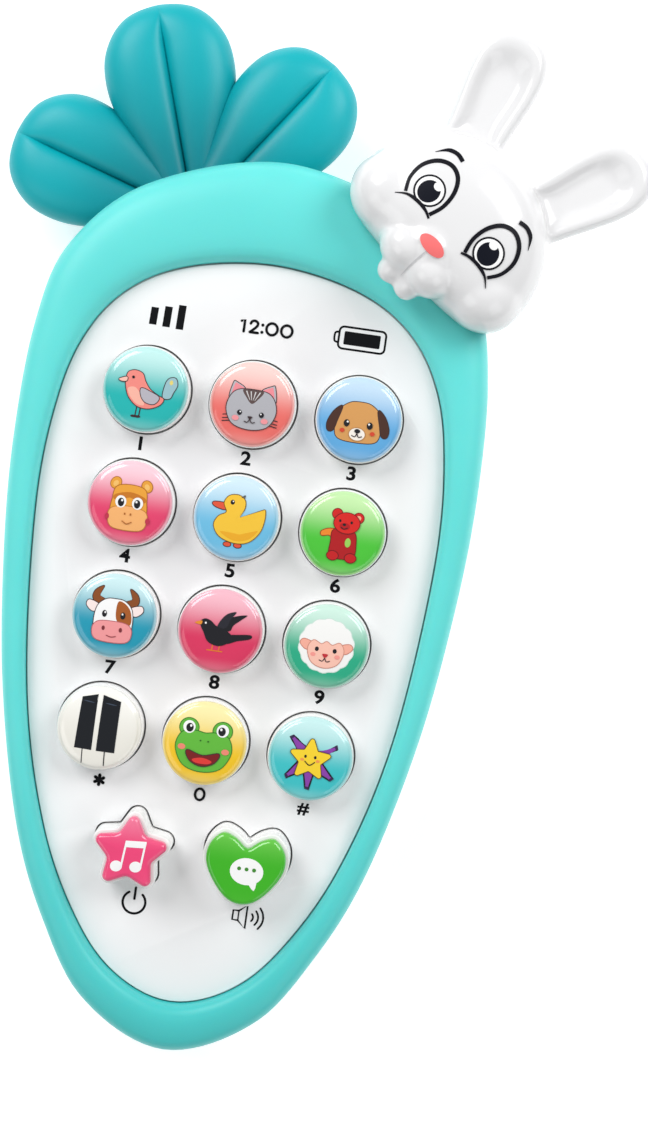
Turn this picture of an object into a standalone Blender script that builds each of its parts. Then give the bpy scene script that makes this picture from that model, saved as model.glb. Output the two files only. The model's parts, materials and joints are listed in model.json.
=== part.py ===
"""Toy cell phone: a carrot-shaped handset with a soft ring, leaves to chew on and a rabbit's head.

The phone lies on its flat back. The origin is on that back, on the handset's line of symmetry.
+X is to the right and +Y towards the leaves, seen from the face, and +Z points out of the face.
Lengths below are in millimetres, angles in degrees. Blender's own units stay metres.
"""

import math

import bmesh
import bpy
import numpy as np
from mathutils import Matrix, Vector

MM = 0.001
GAP = 0.3  # clearance that touching pieces keep
LOOSE = 0.5  # clearance around a piece that slides or is let in

# The handset's outline, as (share of its length from the tip, share of its half width).
BODY_LENGTH = 155.4
BODY_WIDTH = 81.0
TIP_Y = -78.9
BODY_SHAPE = (
    (0.0, 0.0), (0.044, 0.385), (0.122, 0.595), (0.225, 0.763), (0.379, 0.901), (0.533, 0.975),
    (0.662, 1.0), (0.791, 0.975), (0.881, 0.874), (0.958, 0.57), (1.0, 0.0),
)
PANEL_SHAPE = (
    (0.0, 0.0), (0.024, 0.27), (0.086, 0.5), (0.209, 0.74), (0.393, 0.92), (0.640, 1.0),
    (0.794, 0.96), (0.886, 0.851), (0.948, 0.66), (0.985, 0.38), (1.0, 0.0),
)
OUTLINE_STEPS = 72
SHARP = 35.0

# Soft ring around the face.
RING_SIDE = 5.5
RING_TIP = 7.8
RING_TOP = 17.7
RING_SKIRT = 2.0
RING_PROUD = 3.0
# Its upper surface, as (share of the ring's width from the outside, share of its rise).
RING_CROWN = ((0.0, -0.87), (0.09, -0.07), (0.24, 0.6), (0.44, 0.93), (0.6, 1.0), (0.8, 0.83), (0.94, 0.4))

# Housing.
BASE = 3.2
BASE_INSET = 0.6
BASE_ROUND = 2.0
WALL = 2.0
PANEL = 2.2
FLANGE = 1.0
DOOR = 1.9
DOOR_LIP = 2.4
DOOR_CORNER = 2.0
DOOR_SLOPE = 0.8
BAY_WALL = 1.5

# Battery bay: two AAA cells side by side, springs at the lower end.
CELL_DIAMETER = 10.5
CELL_LENGTH = 44.5
NUB_RADIUS = 1.9
NUB = 0.9
SPRING = 4.0
SPRING_RADIUS = 3.2
SPRING_WIRE = 0.4
SPRING_TURNS = 3
CONTACT = 0.5
BAY_TOP_Y = -8.0

# Board and membrane above the bay.
BOARD = 1.6
SHEET = 0.8
DOME = 1.0
DOME_RADIUS = 3.0

# Keys.
KEY_RADIUS = 7.5
KEY_RIM = 0.5
KEY_SPACE_X = 3.5
KEY_SPACE_Y = 4.7
KEY_FLANGE = 1.1
KEY_FLANGE_DEPTH = 1.2
KEY_STAND = 2.8
LENS_RISE = 2.1
LENS_EDGE = 0.4
# The lens's dome, as (share of its radius, share of its rise above the edge).
LENS_DOME = ((0.0, 1.0), (0.55, 0.86), (0.85, 0.5), (1.0, 0.0))
TOP_ROW_Y = 34.7
KEY_NAMES = (("1", "2", "3"), ("4", "5", "6"), ("7", "8", "9"), ("asterisk", "0", "hash"))
KEY_COLOURS = {
    "1": 0x49CFC6, "2": 0xF26D5B, "3": 0x3FA9E0, "4": 0xF48FA8, "5": 0x7CCBEF, "6": 0x4BB85C,
    "7": 0x2FA7B8, "8": 0xE0486E, "9": 0x35B48C, "asterisk": 0xF4F0E4, "0": 0xF7CF3D, "hash": 0x45C9D6,
}
ROUND_STEPS = 20

# Star and heart buttons.
BUTTON_Y = -44.8
BUTTON_SPACE = 20.0
BUTTON_STAND = 5.4
BUTTON_LENS = 1.7
BUTTON_RIM = 0.6
BUTTON_SKIRT = 1.4
BUTTON_EDGE = 0.7
STAR_TIP = 6.9
STAR_NOTCH = 4.1
STAR_TIP_ROUND = 1.5
STAR_NOTCH_ROUND = 1.6
HEART_WIDTH = 14.0
HEART_HEIGHT = 12.2
# Half of the heart, from the notch to the point, as shares of its half width and its height.
HEART_SHAPE = (
    (0.0, 0.81), (0.3, 0.93), (0.65, 0.985), (0.94, 0.80), (0.97, 0.55), (0.74, 0.29), (0.38, 0.07),
)

# Screws and posts.
POST_RADIUS = 3.2
SCREW_RADIUS = 1.4
SCREW_HEAD = 2.7
SCREW_HEAD_DEPTH = 1.7
SCREW_BITE = 7.0
POST_MEET = 9.0
SIDE_POST_Y = 5.0
TOP_POST_Y = 53.5
LOW_POST_Y = -55.0
LOW_POST_X = 17.8
DOOR_SCREW_DROP = 4.6
DOOR_SINK = 1.1
BOARD_POST_RADIUS = 2.4
BOARD_SHANK = 1.0
BOARD_SCREW_HEAD = 1.9
BOARD_SCREW_HEAD_DEPTH = 1.3
BOARD_SCREW_BITE = 5.0
SCREW_TIP = 0.6
BOARD_SCREW_X = 20.0
BOARD_TOP_Y = 50.0
BOARD_HALF = 24.5
BOARD_LOW_HALF = 19.5
BOARD_TAPER_Y = -33.0
SHEET_MARGIN = 1.0

# Speaker.
SPEAKER_RADIUS = 13.5
SPEAKER_DEPTH = 6.5
SPEAKER_Y = 35.8
MAGNET_RADIUS = 7.0
MAGNET_DEPTH = 2.4
SPEAKER_WALL = 1.2
GRILLE_HOLE = 1.2
GRILLE_PITCH = 4.4
COLLAR = 1.3
COLLAR_HEIGHT = 2.5
LEAD_RADIUS = 0.55

# Tongues of the leaves and the head, let in through the ring and the wall.
TONGUE_LOW = 8.0
TONGUE = 5.5

# Leaves.
LEAF_BEARING = 103.2
LEAF_ROOT = 6.6
LEAF_DEPTH = 11.0
LEAF_ROUND = 3.2
LEAF_LOW = 6.0
LEAF_TONGUE_WIDTH = 24.0
LEAF_TONGUE_REACH = 12.0
PEG_RADIUS = 2.0
PEG_EDGE = 1.2
# Each leaf: name, turn, length, half width, lift.
LEAVES = (
    ("middle", 14.7, 37.2, 11.2, 0.0),
    ("left", 72.4, 33.4, 10.8, -0.6),
    ("right", -34.0, 36.2, 10.9, 0.9),
)
# Half of a leaf, as (share of its length, share of its half width).
LEAF_SHAPE = (
    (-0.13, 0.0), (-0.092, 0.31), (0.0, 0.44), (0.24, 0.56), (0.52, 0.95), (0.76, 1.0), (0.93, 0.66),
    (1.0, 0.0),
)

# Rabbit's head.
HEAD_BEARING = 66.7
HEAD_STANDOFF = 3.6
HEAD_TURN = -38.4
HEAD_WIDTH = 37.0
HEAD_HEIGHT = 29.1
# Half of the head's outline, chin to crown, as shares of its half width and its height.
HEAD_SHAPE = (
    (0.0, 0.0), (0.24, 0.06), (0.54, 0.115), (0.88, 0.2), (1.0, 0.4), (0.93, 0.62), (0.70, 0.835),
    (0.38, 0.965), (0.0, 1.0),
)
HEAD_FRONT = 11.5
HEAD_BACK_Z = 7.0
HEAD_WALL = 2.0
HEAD_DOME = ((0.0, 1.0), (0.28, 0.985), (0.55, 0.90), (0.76, 0.74), (0.90, 0.52), (0.98, 0.25))
HEAD_BACK = ((0.0, 0.70), (0.12, 0.84), (0.35, 0.95), (1.0, 1.0))
HEAD_TONGUE_WIDTH = 15.0
HEAD_TONGUE_REACH = 15.0
HEAD_BOSS_RADIUS = 4.4
HEAD_BOSS_OUT = 8.8
HEAD_BOSS_FLOOR = 3.0
HEAD_BITE = 6.0
EAR_LENGTH = 22.0
EAR_HALF = 6.6
EAR_SPREAD = 19.0
EAR_SPACE = 16.6
EAR_BASE = 11.5
EAR_SINK = 5.0
EAR_DEPTH = 3.2
EAR_BOWL = 1.4
EAR_RIM = 2.2
EAR_SHAPE = ((0.0, 0.72), (0.35, 0.88), (0.62, 1.0), (0.83, 0.80), (0.96, 0.4))

# Heights that follow, from the back upwards.
DOOR_LOW = GAP
DOOR_TOP = DOOR_LOW + DOOR
LEDGE = DOOR_TOP + GAP
CELL_Z = LEDGE + CELL_DIAMETER / 2
BAY_CEILING = LEDGE + CELL_DIAMETER + GAP
BAY_ROOF = BAY_CEILING + BAY_WALL
BOARD_LOW = BAY_ROOF + GAP
BOARD_TOP = BOARD_LOW + BOARD
SHEET_LOW = BOARD_TOP + GAP
SHEET_TOP = SHEET_LOW + SHEET
KEY_LOW = SHEET_TOP + DOME + GAP
PANEL_LOW = KEY_LOW + KEY_FLANGE_DEPTH + GAP
PANEL_TOP = PANEL_LOW + PANEL
WALL_TOP = PANEL_LOW - GAP
RING_LOW = BASE + GAP
RING_UNDER = PANEL_LOW + FLANGE + GAP
RING_CREST = PANEL_TOP + RING_PROUD
HEAD_SPLIT = RING_CREST + LOOSE
HEAD_SINK_TOP = HEAD_SPLIT - 2 * GAP - HEAD_BOSS_FLOOR
TONGUE_TOP = TONGUE_LOW + TONGUE

# Places that follow, seen from the face.
BAY_HALF = CELL_DIAMETER + 3 * GAP
BAY_LENGTH = CELL_LENGTH + SPRING + 2 * CONTACT + 5 * GAP
BAY_LOW_Y = BAY_TOP_Y - BAY_LENGTH
DOOR_HALF = BAY_HALF + DOOR_LIP
DOOR_SCREW_Y = BAY_LOW_Y - BAY_WALL - DOOR_SCREW_DROP
LENS_RADIUS = KEY_RADIUS - KEY_RIM
BUTTON_FLANGE = STAR_TIP + BUTTON_RIM + BUTTON_SKIRT
KEY_PITCH_X = 2 * KEY_RADIUS + KEY_SPACE_X
KEY_PITCH_Y = 2 * KEY_RADIUS + KEY_SPACE_Y
BOARD_LOW_Y = LOW_POST_Y + POST_RADIUS + LOOSE
SIDE_POST_X = KEY_PITCH_X + KEY_RADIUS + KEY_FLANGE + GAP + LOOSE + POST_RADIUS

PARTS = bpy.data.collections.new("toy_cell_phone")
CUTTERS = bpy.data.collections.new("cutters")


# ---------------------------------------------------------------- outlines


def mirrored(half):
    """A closed outline from its right half, listed from one point of the axis to the other."""
    inner = [(-x, y) for x, y in reversed(half) if x > 0]
    return list(half) + inner


def smooth(points, per_span=10):
    """A closed Catmull-Rom curve through the points."""
    ring = [Vector(point) for point in points]
    count = len(ring)
    curve = []
    for i in range(count):
        before, start, end, after = (ring[(i + k) % count] for k in (-1, 0, 1, 2))
        for step in range(per_span):
            t = step / per_span
            curve.append(
                0.5
                * (
                    2 * start
                    + (end - before) * t
                    + (2 * before - 5 * start + 4 * end - after) * t**2
                    + (3 * start - before - 3 * end + after) * t**3
                )
            )
    return [tuple(point) for point in curve]


def shaped(shape, width, length, low):
    """A smooth symmetric outline: the shape's shares made lengths, its lowest point at height low."""
    half = [(share * width / 2, low + along * length) for along, share in shape]
    return smooth(mirrored(half))


def at_bearings(outline, count=OUTLINE_STEPS):
    """The outline's points on evenly turned rays from the origin, the first one straight down."""
    points = np.array(outline)
    bearings = np.arctan2(points[:, 1], points[:, 0])
    reach = np.hypot(points[:, 0], points[:, 1])
    rays = -math.pi / 2 + 2 * math.pi * np.arange(count) / count
    hits = np.interp(rays, bearings, reach, period=2 * math.pi)
    return [(hit * math.cos(ray), hit * math.sin(ray)) for ray, hit in zip(rays, hits)]


def on_ray(outline, bearing, beyond):
    """The point at this distance beyond the outline, on the ray from the origin at this bearing."""
    points = np.array(outline)
    bearings = np.arctan2(points[:, 1], points[:, 0])
    distances = np.hypot(points[:, 0], points[:, 1])
    reach = np.interp(math.radians(bearing), bearings, distances, period=2 * math.pi)
    ray = Vector((math.cos(math.radians(bearing)), math.sin(math.radians(bearing))))
    return ray * (reach + beyond)


def grown(outline, distance):
    """The outline, counter-clockwise, moved outwards square to itself."""
    count = len(outline)
    moved = []
    for i, (x, y) in enumerate(outline):
        before, after = Vector(outline[i - 1]), Vector(outline[(i + 1) % count])
        along = (after - before).normalized()
        moved.append((x + along.y * distance, y - along.x * distance))
    return moved


def rounded(corners, radii, steps=4):
    """A polygon with each corner made an arc of its radius."""
    count = len(corners)
    path = []
    for i, corner in enumerate(corners):
        corner = Vector(corner)
        back = (Vector(corners[i - 1]) - corner).normalized()
        ahead = (Vector(corners[(i + 1) % count]) - corner).normalized()
        half = back.angle(ahead) / 2
        radius = radii[i % len(radii)]
        middle = corner + (back + ahead).normalized() * radius / math.sin(half)
        start = corner + back * radius / math.tan(half) - middle
        end = corner + ahead * radius / math.tan(half) - middle
        sweep = start.angle_signed(end)
        for step in range(steps + 1):
            path.append(tuple(middle + Matrix.Rotation(-sweep * step / steps, 2) @ start))
    return path


def circle(radius, at=(0.0, 0.0), steps=ROUND_STEPS):
    turns = [2 * math.pi * i / steps for i in range(steps)]
    return [(at[0] + radius * math.cos(turn), at[1] + radius * math.sin(turn)) for turn in turns]


def placed(outline, at, turn=0.0, scale=1.0):
    """The outline scaled, turned counter-clockwise about its own origin and moved to a point."""
    spin = Matrix.Rotation(math.radians(turn), 2)
    return [tuple(Vector(at) + spin @ Vector(point) * scale) for point in outline]


def star(grow=0.0):
    corners = []
    for i in range(10):
        radius = STAR_NOTCH if i % 2 else STAR_TIP + STAR_TIP_ROUND * 0.7
        turn = math.radians(90 + 36 * i)
        corners.append((radius * math.cos(turn), radius * math.sin(turn)))
    return grown(rounded(corners, (STAR_TIP_ROUND, STAR_NOTCH_ROUND), 3), grow)


def heart(grow=0.0):
    half = [(-share * HEART_WIDTH / 2, (up - 0.5) * HEART_HEIGHT) for share, up in HEART_SHAPE]
    point = [(0.0, -HEART_HEIGHT / 2)]
    return grown(smooth(half + point + [(-x, y) for x, y in reversed(half[1:])], 3), grow)


# ---------------------------------------------------------------- solids


def adopt(name, mesh, home):
    """A mesh object in one of the two collections."""
    obj = bpy.data.objects.new(name, mesh)
    home.objects.link(obj)
    if home is CUTTERS:
        obj.hide_render = True
        obj.display_type = "WIRE"
    return obj


def from_bmesh(name, bm, home):
    bmesh.ops.recalc_face_normals(bm, faces=bm.faces)
    mesh = bpy.data.meshes.new(name)
    bm.to_mesh(mesh)
    bm.free()
    return adopt(name, mesh, home)


def slab(name, outline, low, high, home=PARTS):
    """A flat outline with a thickness, from one height to another."""
    curve = bpy.data.curves.new(name, "CURVE")
    curve.dimensions = "2D"
    curve.fill_mode = "BOTH"
    curve.extrude = (high - low) / 2 * MM
    spline = curve.splines.new("POLY")
    spline.points.add(len(outline) - 1)
    spline.use_cyclic_u = True
    for point, (x, y) in zip(spline.points, outline):
        point.co = (x * MM, y * MM, 0, 1)
    draft = bpy.data.objects.new(name + "_outline", curve)
    CUTTERS.objects.link(draft)
    bpy.context.view_layer.update()
    graph = bpy.context.evaluated_depsgraph_get()
    mesh = bpy.data.meshes.new_from_object(draft.evaluated_get(graph))
    bpy.data.objects.remove(draft)
    bm = bmesh.new()
    bm.from_mesh(mesh)
    bpy.data.meshes.remove(mesh)
    bmesh.ops.remove_doubles(bm, verts=bm.verts, dist=1e-6)
    bmesh.ops.dissolve_limit(bm, angle_limit=0.001, verts=bm.verts, edges=bm.edges)
    bmesh.ops.translate(bm, verts=bm.verts, vec=(0, 0, (low + high) / 2 * MM))
    return from_bmesh(name, bm, home)


def stack(name, layers, home=PARTS, closed=False):
    """A solid lofted through loops of 3D points, capped at both ends or joined end to end."""
    bm = bmesh.new()
    loops = [[bm.verts.new(Vector(point) * MM) for point in layer] for layer in layers]
    pairs = list(zip(loops, loops[1:]))
    if closed:
        pairs.append((loops[-1], loops[0]))
    else:
        bm.faces.new(loops[0])
        bm.faces.new(loops[-1])
    for lower, upper in pairs:
        for i in range(len(lower)):
            bm.faces.new((lower[i - 1], lower[i], upper[i], upper[i - 1]))
    return from_bmesh(name, bm, home)


def at_height(outline, height):
    return [(x, y, height) for x, y in outline]


def puffed(name, outline, low, high, edge, home=PARTS, steps=2):
    """A flat outline with a thickness, both of its edges rounded."""
    lower, upper = [], []
    for step in range(steps + 1):
        slope = math.pi / 2 * step / steps
        ring = grown(outline, -edge * (1 - math.sin(slope)))
        lower.append(at_height(ring, low + edge * (1 - math.cos(slope))))
        upper.append(at_height(ring, high - edge * (1 - math.cos(slope))))
    return stack(name, lower + upper[::-1], home)


def turned(name, profile, at, steps=ROUND_STEPS, home=PARTS):
    """A profile of (radius, height), listed from the top of the axis down the outer side, made round."""
    bm = bmesh.new()
    points = [bm.verts.new((radius * MM, 0, height * MM)) for radius, height in profile]
    for start, end in zip(points, points[1:]):
        bm.edges.new((start, end))
    line = bm.verts[:] + bm.edges[:]
    turn = {"cent": (0, 0, 0), "axis": (0, 0, 1), "angle": 2 * math.pi, "steps": steps}
    bmesh.ops.spin(bm, geom=line, **turn)
    bmesh.ops.remove_doubles(bm, verts=bm.verts, dist=1e-6)
    obj = from_bmesh(name, bm, home)
    obj.location = (at[0] * MM, at[1] * MM, 0)
    return obj


def rod(name, radius, at, low, high, steps=16, home=CUTTERS):
    """An upright cylinder between two heights."""
    bm = bmesh.new()
    middle = Matrix.Translation((at[0] * MM, at[1] * MM, (low + high) / 2 * MM))
    size = {"radius1": radius * MM, "radius2": radius * MM, "depth": (high - low) * MM}
    bmesh.ops.create_cone(bm, cap_ends=True, segments=steps, matrix=middle, **size)
    return from_bmesh(name, bm, home)


def tube(name, path, radius, home=PARTS):
    """A round wire through 3D points."""
    curve = bpy.data.curves.new(name, "CURVE")
    curve.dimensions = "3D"
    curve.bevel_depth = radius * MM
    curve.bevel_resolution = 1
    curve.use_fill_caps = True
    spline = curve.splines.new("POLY")
    spline.points.add(len(path) - 1)
    for point, place in zip(spline.points, path):
        point.co = (*(Vector(place) * MM), 1)
    obj = bpy.data.objects.new(name, curve)
    home.objects.link(obj)
    return obj


def bundle(name, objects):
    """Several separate helpers made one, so that one Boolean takes them all."""
    bm = bmesh.new()
    for obj in objects:
        obj.data.transform(obj.matrix_basis)
        bm.from_mesh(obj.data)
        bpy.data.objects.remove(obj)
    return from_bmesh(name, bm, CUTTERS)


def boolean(obj, tool, operation):
    step = obj.modifiers.new(f"{operation.lower()}_{tool.name}", "BOOLEAN")
    step.operation = operation
    step.object = tool
    step.solver = "EXACT"


def cut(obj, tool):
    boolean(obj, tool, "DIFFERENCE")


def join(obj, tool):
    boolean(obj, tool, "UNION")


def round_edges(obj, width, segments=2, angle=60):
    step = obj.modifiers.new("round", "BEVEL")
    step.width = width * MM
    step.segments = segments
    step.limit_method = "ANGLE"
    step.angle_limit = math.radians(angle)


def paint(obj, colour, roughness=0.4, metallic=0.0):
    """Smooth shading between sharp edges, and the object's own material from an sRGB colour."""
    if obj.type == "MESH":
        obj.data.shade_smooth()
        obj.data.set_sharp_from_angle(angle=math.radians(SHARP))
    material = bpy.data.materials.new(obj.name)
    material.use_nodes = True
    shader = material.node_tree.nodes["Principled BSDF"]
    linear = [((colour >> shift & 255) / 255) ** 2.2 for shift in (16, 8, 0)]
    shader.inputs["Base Color"].default_value = (*linear, 1)
    shader.inputs["Roughness"].default_value = roughness
    shader.inputs["Metallic"].default_value = metallic
    obj.data.materials.append(material)


# ---------------------------------------------------------------- sub-parts

BODY = at_bearings(shaped(BODY_SHAPE, BODY_WIDTH, BODY_LENGTH, TIP_Y))
FACE = at_bearings(
    shaped(PANEL_SHAPE, BODY_WIDTH - 2 * RING_SIDE, BODY_LENGTH - RING_TIP - RING_TOP, TIP_Y + RING_TIP)
)
LEAF_ROOT_AT = on_ray(BODY, LEAF_BEARING, -LEAF_ROOT)
LEAF_TONGUE_AT = on_ray(BODY, LEAF_BEARING, 0.0)
HEAD_AT = on_ray(BODY, HEAD_BEARING, HEAD_STANDOFF)
HEAD_TONGUE_AT = on_ray(BODY, HEAD_BEARING, 0.0)
HEAD_POST_AT = on_ray(BODY, HEAD_BEARING, -HEAD_TONGUE_REACH + POST_RADIUS + LOOSE)
HEAD_BOSS_AT = on_ray(BODY, HEAD_BEARING, HEAD_BOSS_OUT)
HOUSING_SCREWS = (
    (0.0, TOP_POST_Y),
    (-SIDE_POST_X, SIDE_POST_Y),
    (SIDE_POST_X, SIDE_POST_Y),
    (-LOW_POST_X, LOW_POST_Y),
    (LOW_POST_X, LOW_POST_Y),
)
BOARD_SCREWS = tuple((side * BOARD_SCREW_X, BOARD_TOP_Y - BOARD_POST_RADIUS - LOOSE) for side in (-1, 1))
LEAF_PEGS = placed(
    [(side * LEAF_TONGUE_WIDTH / 4, -LEAF_TONGUE_REACH + PEG_RADIUS + PEG_EDGE) for side in (-1, 1)],
    LEAF_TONGUE_AT,
    LEAF_BEARING - 90,
)
ROUND_KEYS = {
    name: ((column - 1) * KEY_PITCH_X, TOP_ROW_Y - row * KEY_PITCH_Y)
    for row, names in enumerate(KEY_NAMES)
    for column, name in enumerate(names)
}
STAR_AT = (-BUTTON_SPACE / 2, BUTTON_Y)
HEART_AT = (BUTTON_SPACE / 2, BUTTON_Y)


def tongue_outline(width, reach, out, grow=0.0):
    """A tongue pointing down its own -Y, from the handset's edge inwards; out is its length outside."""
    half = width / 2 + grow
    corners = [(-half, -reach - grow), (half, -reach - grow), (half, out), (-half, out)]
    return rounded(corners, (1.5, 1.5, 0.4, 0.4), 2)


def leaf_tongue(grow=0.0, out=4.0):
    outline = tongue_outline(LEAF_TONGUE_WIDTH, LEAF_TONGUE_REACH, out, grow)
    return placed(outline, LEAF_TONGUE_AT, LEAF_BEARING - 90)


def head_tongue(grow=0.0, out=3.0):
    outline = tongue_outline(HEAD_TONGUE_WIDTH, HEAD_TONGUE_REACH, out, grow)
    return placed(outline, HEAD_TONGUE_AT, HEAD_BEARING - 90)


def tongue_slots(name):
    """What is cut from the ring and the wall to let both tongues in."""
    low, high = TONGUE_LOW - LOOSE, TONGUE_TOP + LOOSE
    slots = [
        slab("leaf_slot", leaf_tongue(LOOSE), low, high, CUTTERS),
        slab("head_slot", head_tongue(LOOSE), low, high, CUTTERS),
    ]
    return bundle(name, slots)


def make_ring():
    """The ring: one section lofted round the handset, a skirt outside and a crowned frame on top."""
    sections = []
    for outer, inner in zip(BODY, FACE):
        outer, inner = Vector(outer), Vector(inner)
        across = inner - outer
        width = across.length
        across.normalize()
        profile = [(RING_SKIRT, RING_LOW), (0.5, RING_LOW), (0.0, RING_LOW + 1.5)]
        profile += [(share * width, PANEL_TOP + rise * RING_PROUD) for share, rise in RING_CROWN]
        profile += [(width - GAP, PANEL_TOP), (width - GAP, RING_UNDER), (RING_SKIRT, RING_UNDER)]
        sections.append([(*(outer + across * inward), height) for inward, height in profile])
    ring = stack("soft_ring", sections, closed=True)
    cut(ring, tongue_slots("ring_slots"))
    paint(ring, 0x5FD9CF, 0.45)


def make_front_panel():
    """The face plate, with a flange under the ring and posts for the screws and the leaves' tongue."""
    panel = slab("front_panel", grown(BODY, -RING_SKIRT - 2 * GAP), PANEL_LOW, PANEL_LOW + FLANGE)
    plate = slab("panel_plate", FACE, PANEL_LOW + FLANGE / 2, PANEL_TOP, CUTTERS)
    join(panel, plate)
    foot = PANEL_LOW + FLANGE / 2
    posts = [rod("post", POST_RADIUS, at, POST_MEET + GAP / 2, foot) for at in HOUSING_SCREWS]
    posts += [rod("post", PEG_RADIUS + GAP, at, TONGUE_TOP + GAP, foot) for at in LEAF_PEGS]
    join(panel, bundle("panel_posts", posts))
    top = PANEL_TOP + 1
    outlines = [circle(KEY_RADIUS + GAP, at) for at in ROUND_KEYS.values()]
    outlines.append(placed(star(BUTTON_RIM + GAP), STAR_AT))
    outlines.append(placed(heart(BUTTON_RIM + GAP), HEART_AT))
    holes = [slab("hole", outline, PANEL_LOW - 1, top, CUTTERS) for outline in outlines]
    low = POST_MEET - 1
    bite = POST_MEET + SCREW_BITE + 1
    holes += [rod("pilot", SCREW_RADIUS + GAP, at, low, bite, 12) for at in HOUSING_SCREWS]
    cut(panel, bundle("panel_holes", holes))
    paint(panel, 0xF3F3F4, 0.35)


def bay_outline(grow=0.0):
    half, low, high = BAY_HALF + grow, BAY_LOW_Y - grow, BAY_TOP_Y + grow
    return [(-half, low), (half, low), (half, high), (-half, high)]


def door_outline(grow=0.0):
    """The door: a rounded oblong over the bay, with a tab for its screw at the lower end."""
    half, tab = DOOR_HALF + grow, SCREW_HEAD + DOOR_LIP + grow
    top, low = BAY_TOP_Y + DOOR_LIP + grow, BAY_LOW_Y - DOOR_LIP / 2 - grow
    foot = DOOR_SCREW_Y - SCREW_HEAD - DOOR_LIP / 2 - grow
    side = low + DOOR_SLOPE
    right = [(tab, foot), (tab, low), (half, side), (half, top)]
    corners = [(-half, side), (-tab, low), (-tab, foot)] + right + [(-half, top)]
    outer, inner = DOOR_CORNER + grow, DOOR_CORNER - grow
    return rounded(corners, (outer, inner, outer, outer, inner, outer, outer, outer), 3)


def grille_holes():
    """Rings of holes over the speaker: one, six and twelve."""
    places = [(0.0, SPEAKER_Y)]
    for ring in (1, 2):
        for i in range(6 * ring):
            turn = 2 * math.pi * i / (6 * ring)
            reach = ring * GRILLE_PITCH
            places.append((reach * math.cos(turn), SPEAKER_Y + reach * math.sin(turn)))
    return [rod("grille", GRILLE_HOLE, at, -1, BASE + 1, 8) for at in places]


def make_rear_shell():
    """The back: flat plate, side wall, battery bay, posts, speaker collar and grille."""
    shell = slab("rear_shell", grown(BODY, -BASE_INSET), 0, BASE)
    lower_edge = shell.vertex_groups.new(name="back_edge")
    lower_edge.add([v.index for v in shell.data.vertices if v.co.z < BASE * MM / 2], 1.0, "REPLACE")
    round_edges(shell, BASE_ROUND, 3)
    shell.modifiers["round"].limit_method = "VGROUP"
    shell.modifiers["round"].vertex_group = "back_edge"
    wall_out = grown(BODY, -RING_SKIRT - GAP)
    wall_in = grown(BODY, -RING_SKIRT - GAP - WALL)
    join(shell, slab("wall_block", wall_out, BASE / 2, WALL_TOP, CUTTERS))
    cut(shell, slab("wall_hollow", wall_in, BASE, WALL_TOP + 1, CUTTERS))
    join(shell, slab("bay_block", bay_outline(BAY_WALL), BASE / 2, BAY_ROOF, CUTTERS))

    posts = [rod("post", POST_RADIUS, at, BASE / 2, POST_MEET - GAP / 2) for at in HOUSING_SCREWS]
    posts += [rod("post", BOARD_POST_RADIUS, at, BASE / 2, BOARD_LOW - GAP) for at in BOARD_SCREWS]
    posts += [rod("post", PEG_RADIUS + 1, at, BASE / 2, TONGUE_LOW - GAP) for at in LEAF_PEGS]
    posts.append(rod("post", POST_RADIUS, HEAD_POST_AT, BASE / 2, TONGUE_LOW - GAP))
    posts.append(rod("post", POST_RADIUS, (0, DOOR_SCREW_Y), LEDGE - GAP, POST_MEET))
    join(shell, bundle("shell_posts", posts))
    pegs = [rod("peg", PEG_RADIUS, at, TONGUE_LOW - 2, TONGUE_TOP - LOOSE, 12) for at in LEAF_PEGS]
    join(shell, bundle("leaf_pegs", pegs))
    inner, outer = SPEAKER_RADIUS + GAP, SPEAKER_RADIUS + GAP + COLLAR
    low, high = BASE / 2, BASE + COLLAR_HEIGHT
    collar = [(outer, high), (outer, low), (inner, low), (inner, high), (outer, high)]
    join(shell, turned("speaker_collar", collar, (0, SPEAKER_Y), home=CUTTERS))

    cut(shell, slab("bay_hollow", bay_outline(), -1, BAY_CEILING, CUTTERS))
    recess = slab("door_recess", door_outline(GAP), -1, LEDGE, CUTTERS)
    cut(shell, recess)
    holes = grille_holes()
    for at in (*HOUSING_SCREWS, HEAD_POST_AT):
        holes.append(rod("shank", SCREW_RADIUS + GAP, at, SCREW_HEAD_DEPTH, POST_MEET + 1, 12))
    holes.append(rod("shank", SCREW_RADIUS + GAP, (0, DOOR_SCREW_Y), 0, POST_MEET - BAY_WALL, 12))
    low = BOARD_LOW - BOARD_SCREW_BITE - 1
    holes += [rod("pilot", BOARD_SHANK + GAP, at, low, BOARD_LOW + 1, 10) for at in BOARD_SCREWS]
    cut(shell, bundle("shell_holes", holes))
    depth = GAP + SCREW_HEAD_DEPTH + GAP
    sinks = [rod("sink", SCREW_HEAD + GAP, at, -1, depth) for at in (*HOUSING_SCREWS, HEAD_POST_AT)]
    cut(shell, bundle("screw_sinks", sinks))
    cut(shell, tongue_slots("shell_slots"))
    lead = rod("lead_hole", LEAD_RADIUS + GAP, battery_lead_foot(), BAY_CEILING - 1, BAY_ROOF + 1, 10)
    cut(shell, lead)
    paint(shell, 0xF1F1F2, 0.4)


def make_door():
    door = slab("battery_door", door_outline(), DOOR_LOW, DOOR_TOP)
    sink = rod("door_sink", SCREW_HEAD + GAP, (0, DOOR_SCREW_Y), -1, DOOR_LOW + DOOR_SINK)
    hole = rod("door_hole", SCREW_RADIUS + GAP, (0, DOOR_SCREW_Y), -1, DOOR_TOP + 1, 12)
    cut(door, sink)
    cut(door, hole)
    paint(door, 0xF1F1F2, 0.4)


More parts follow.
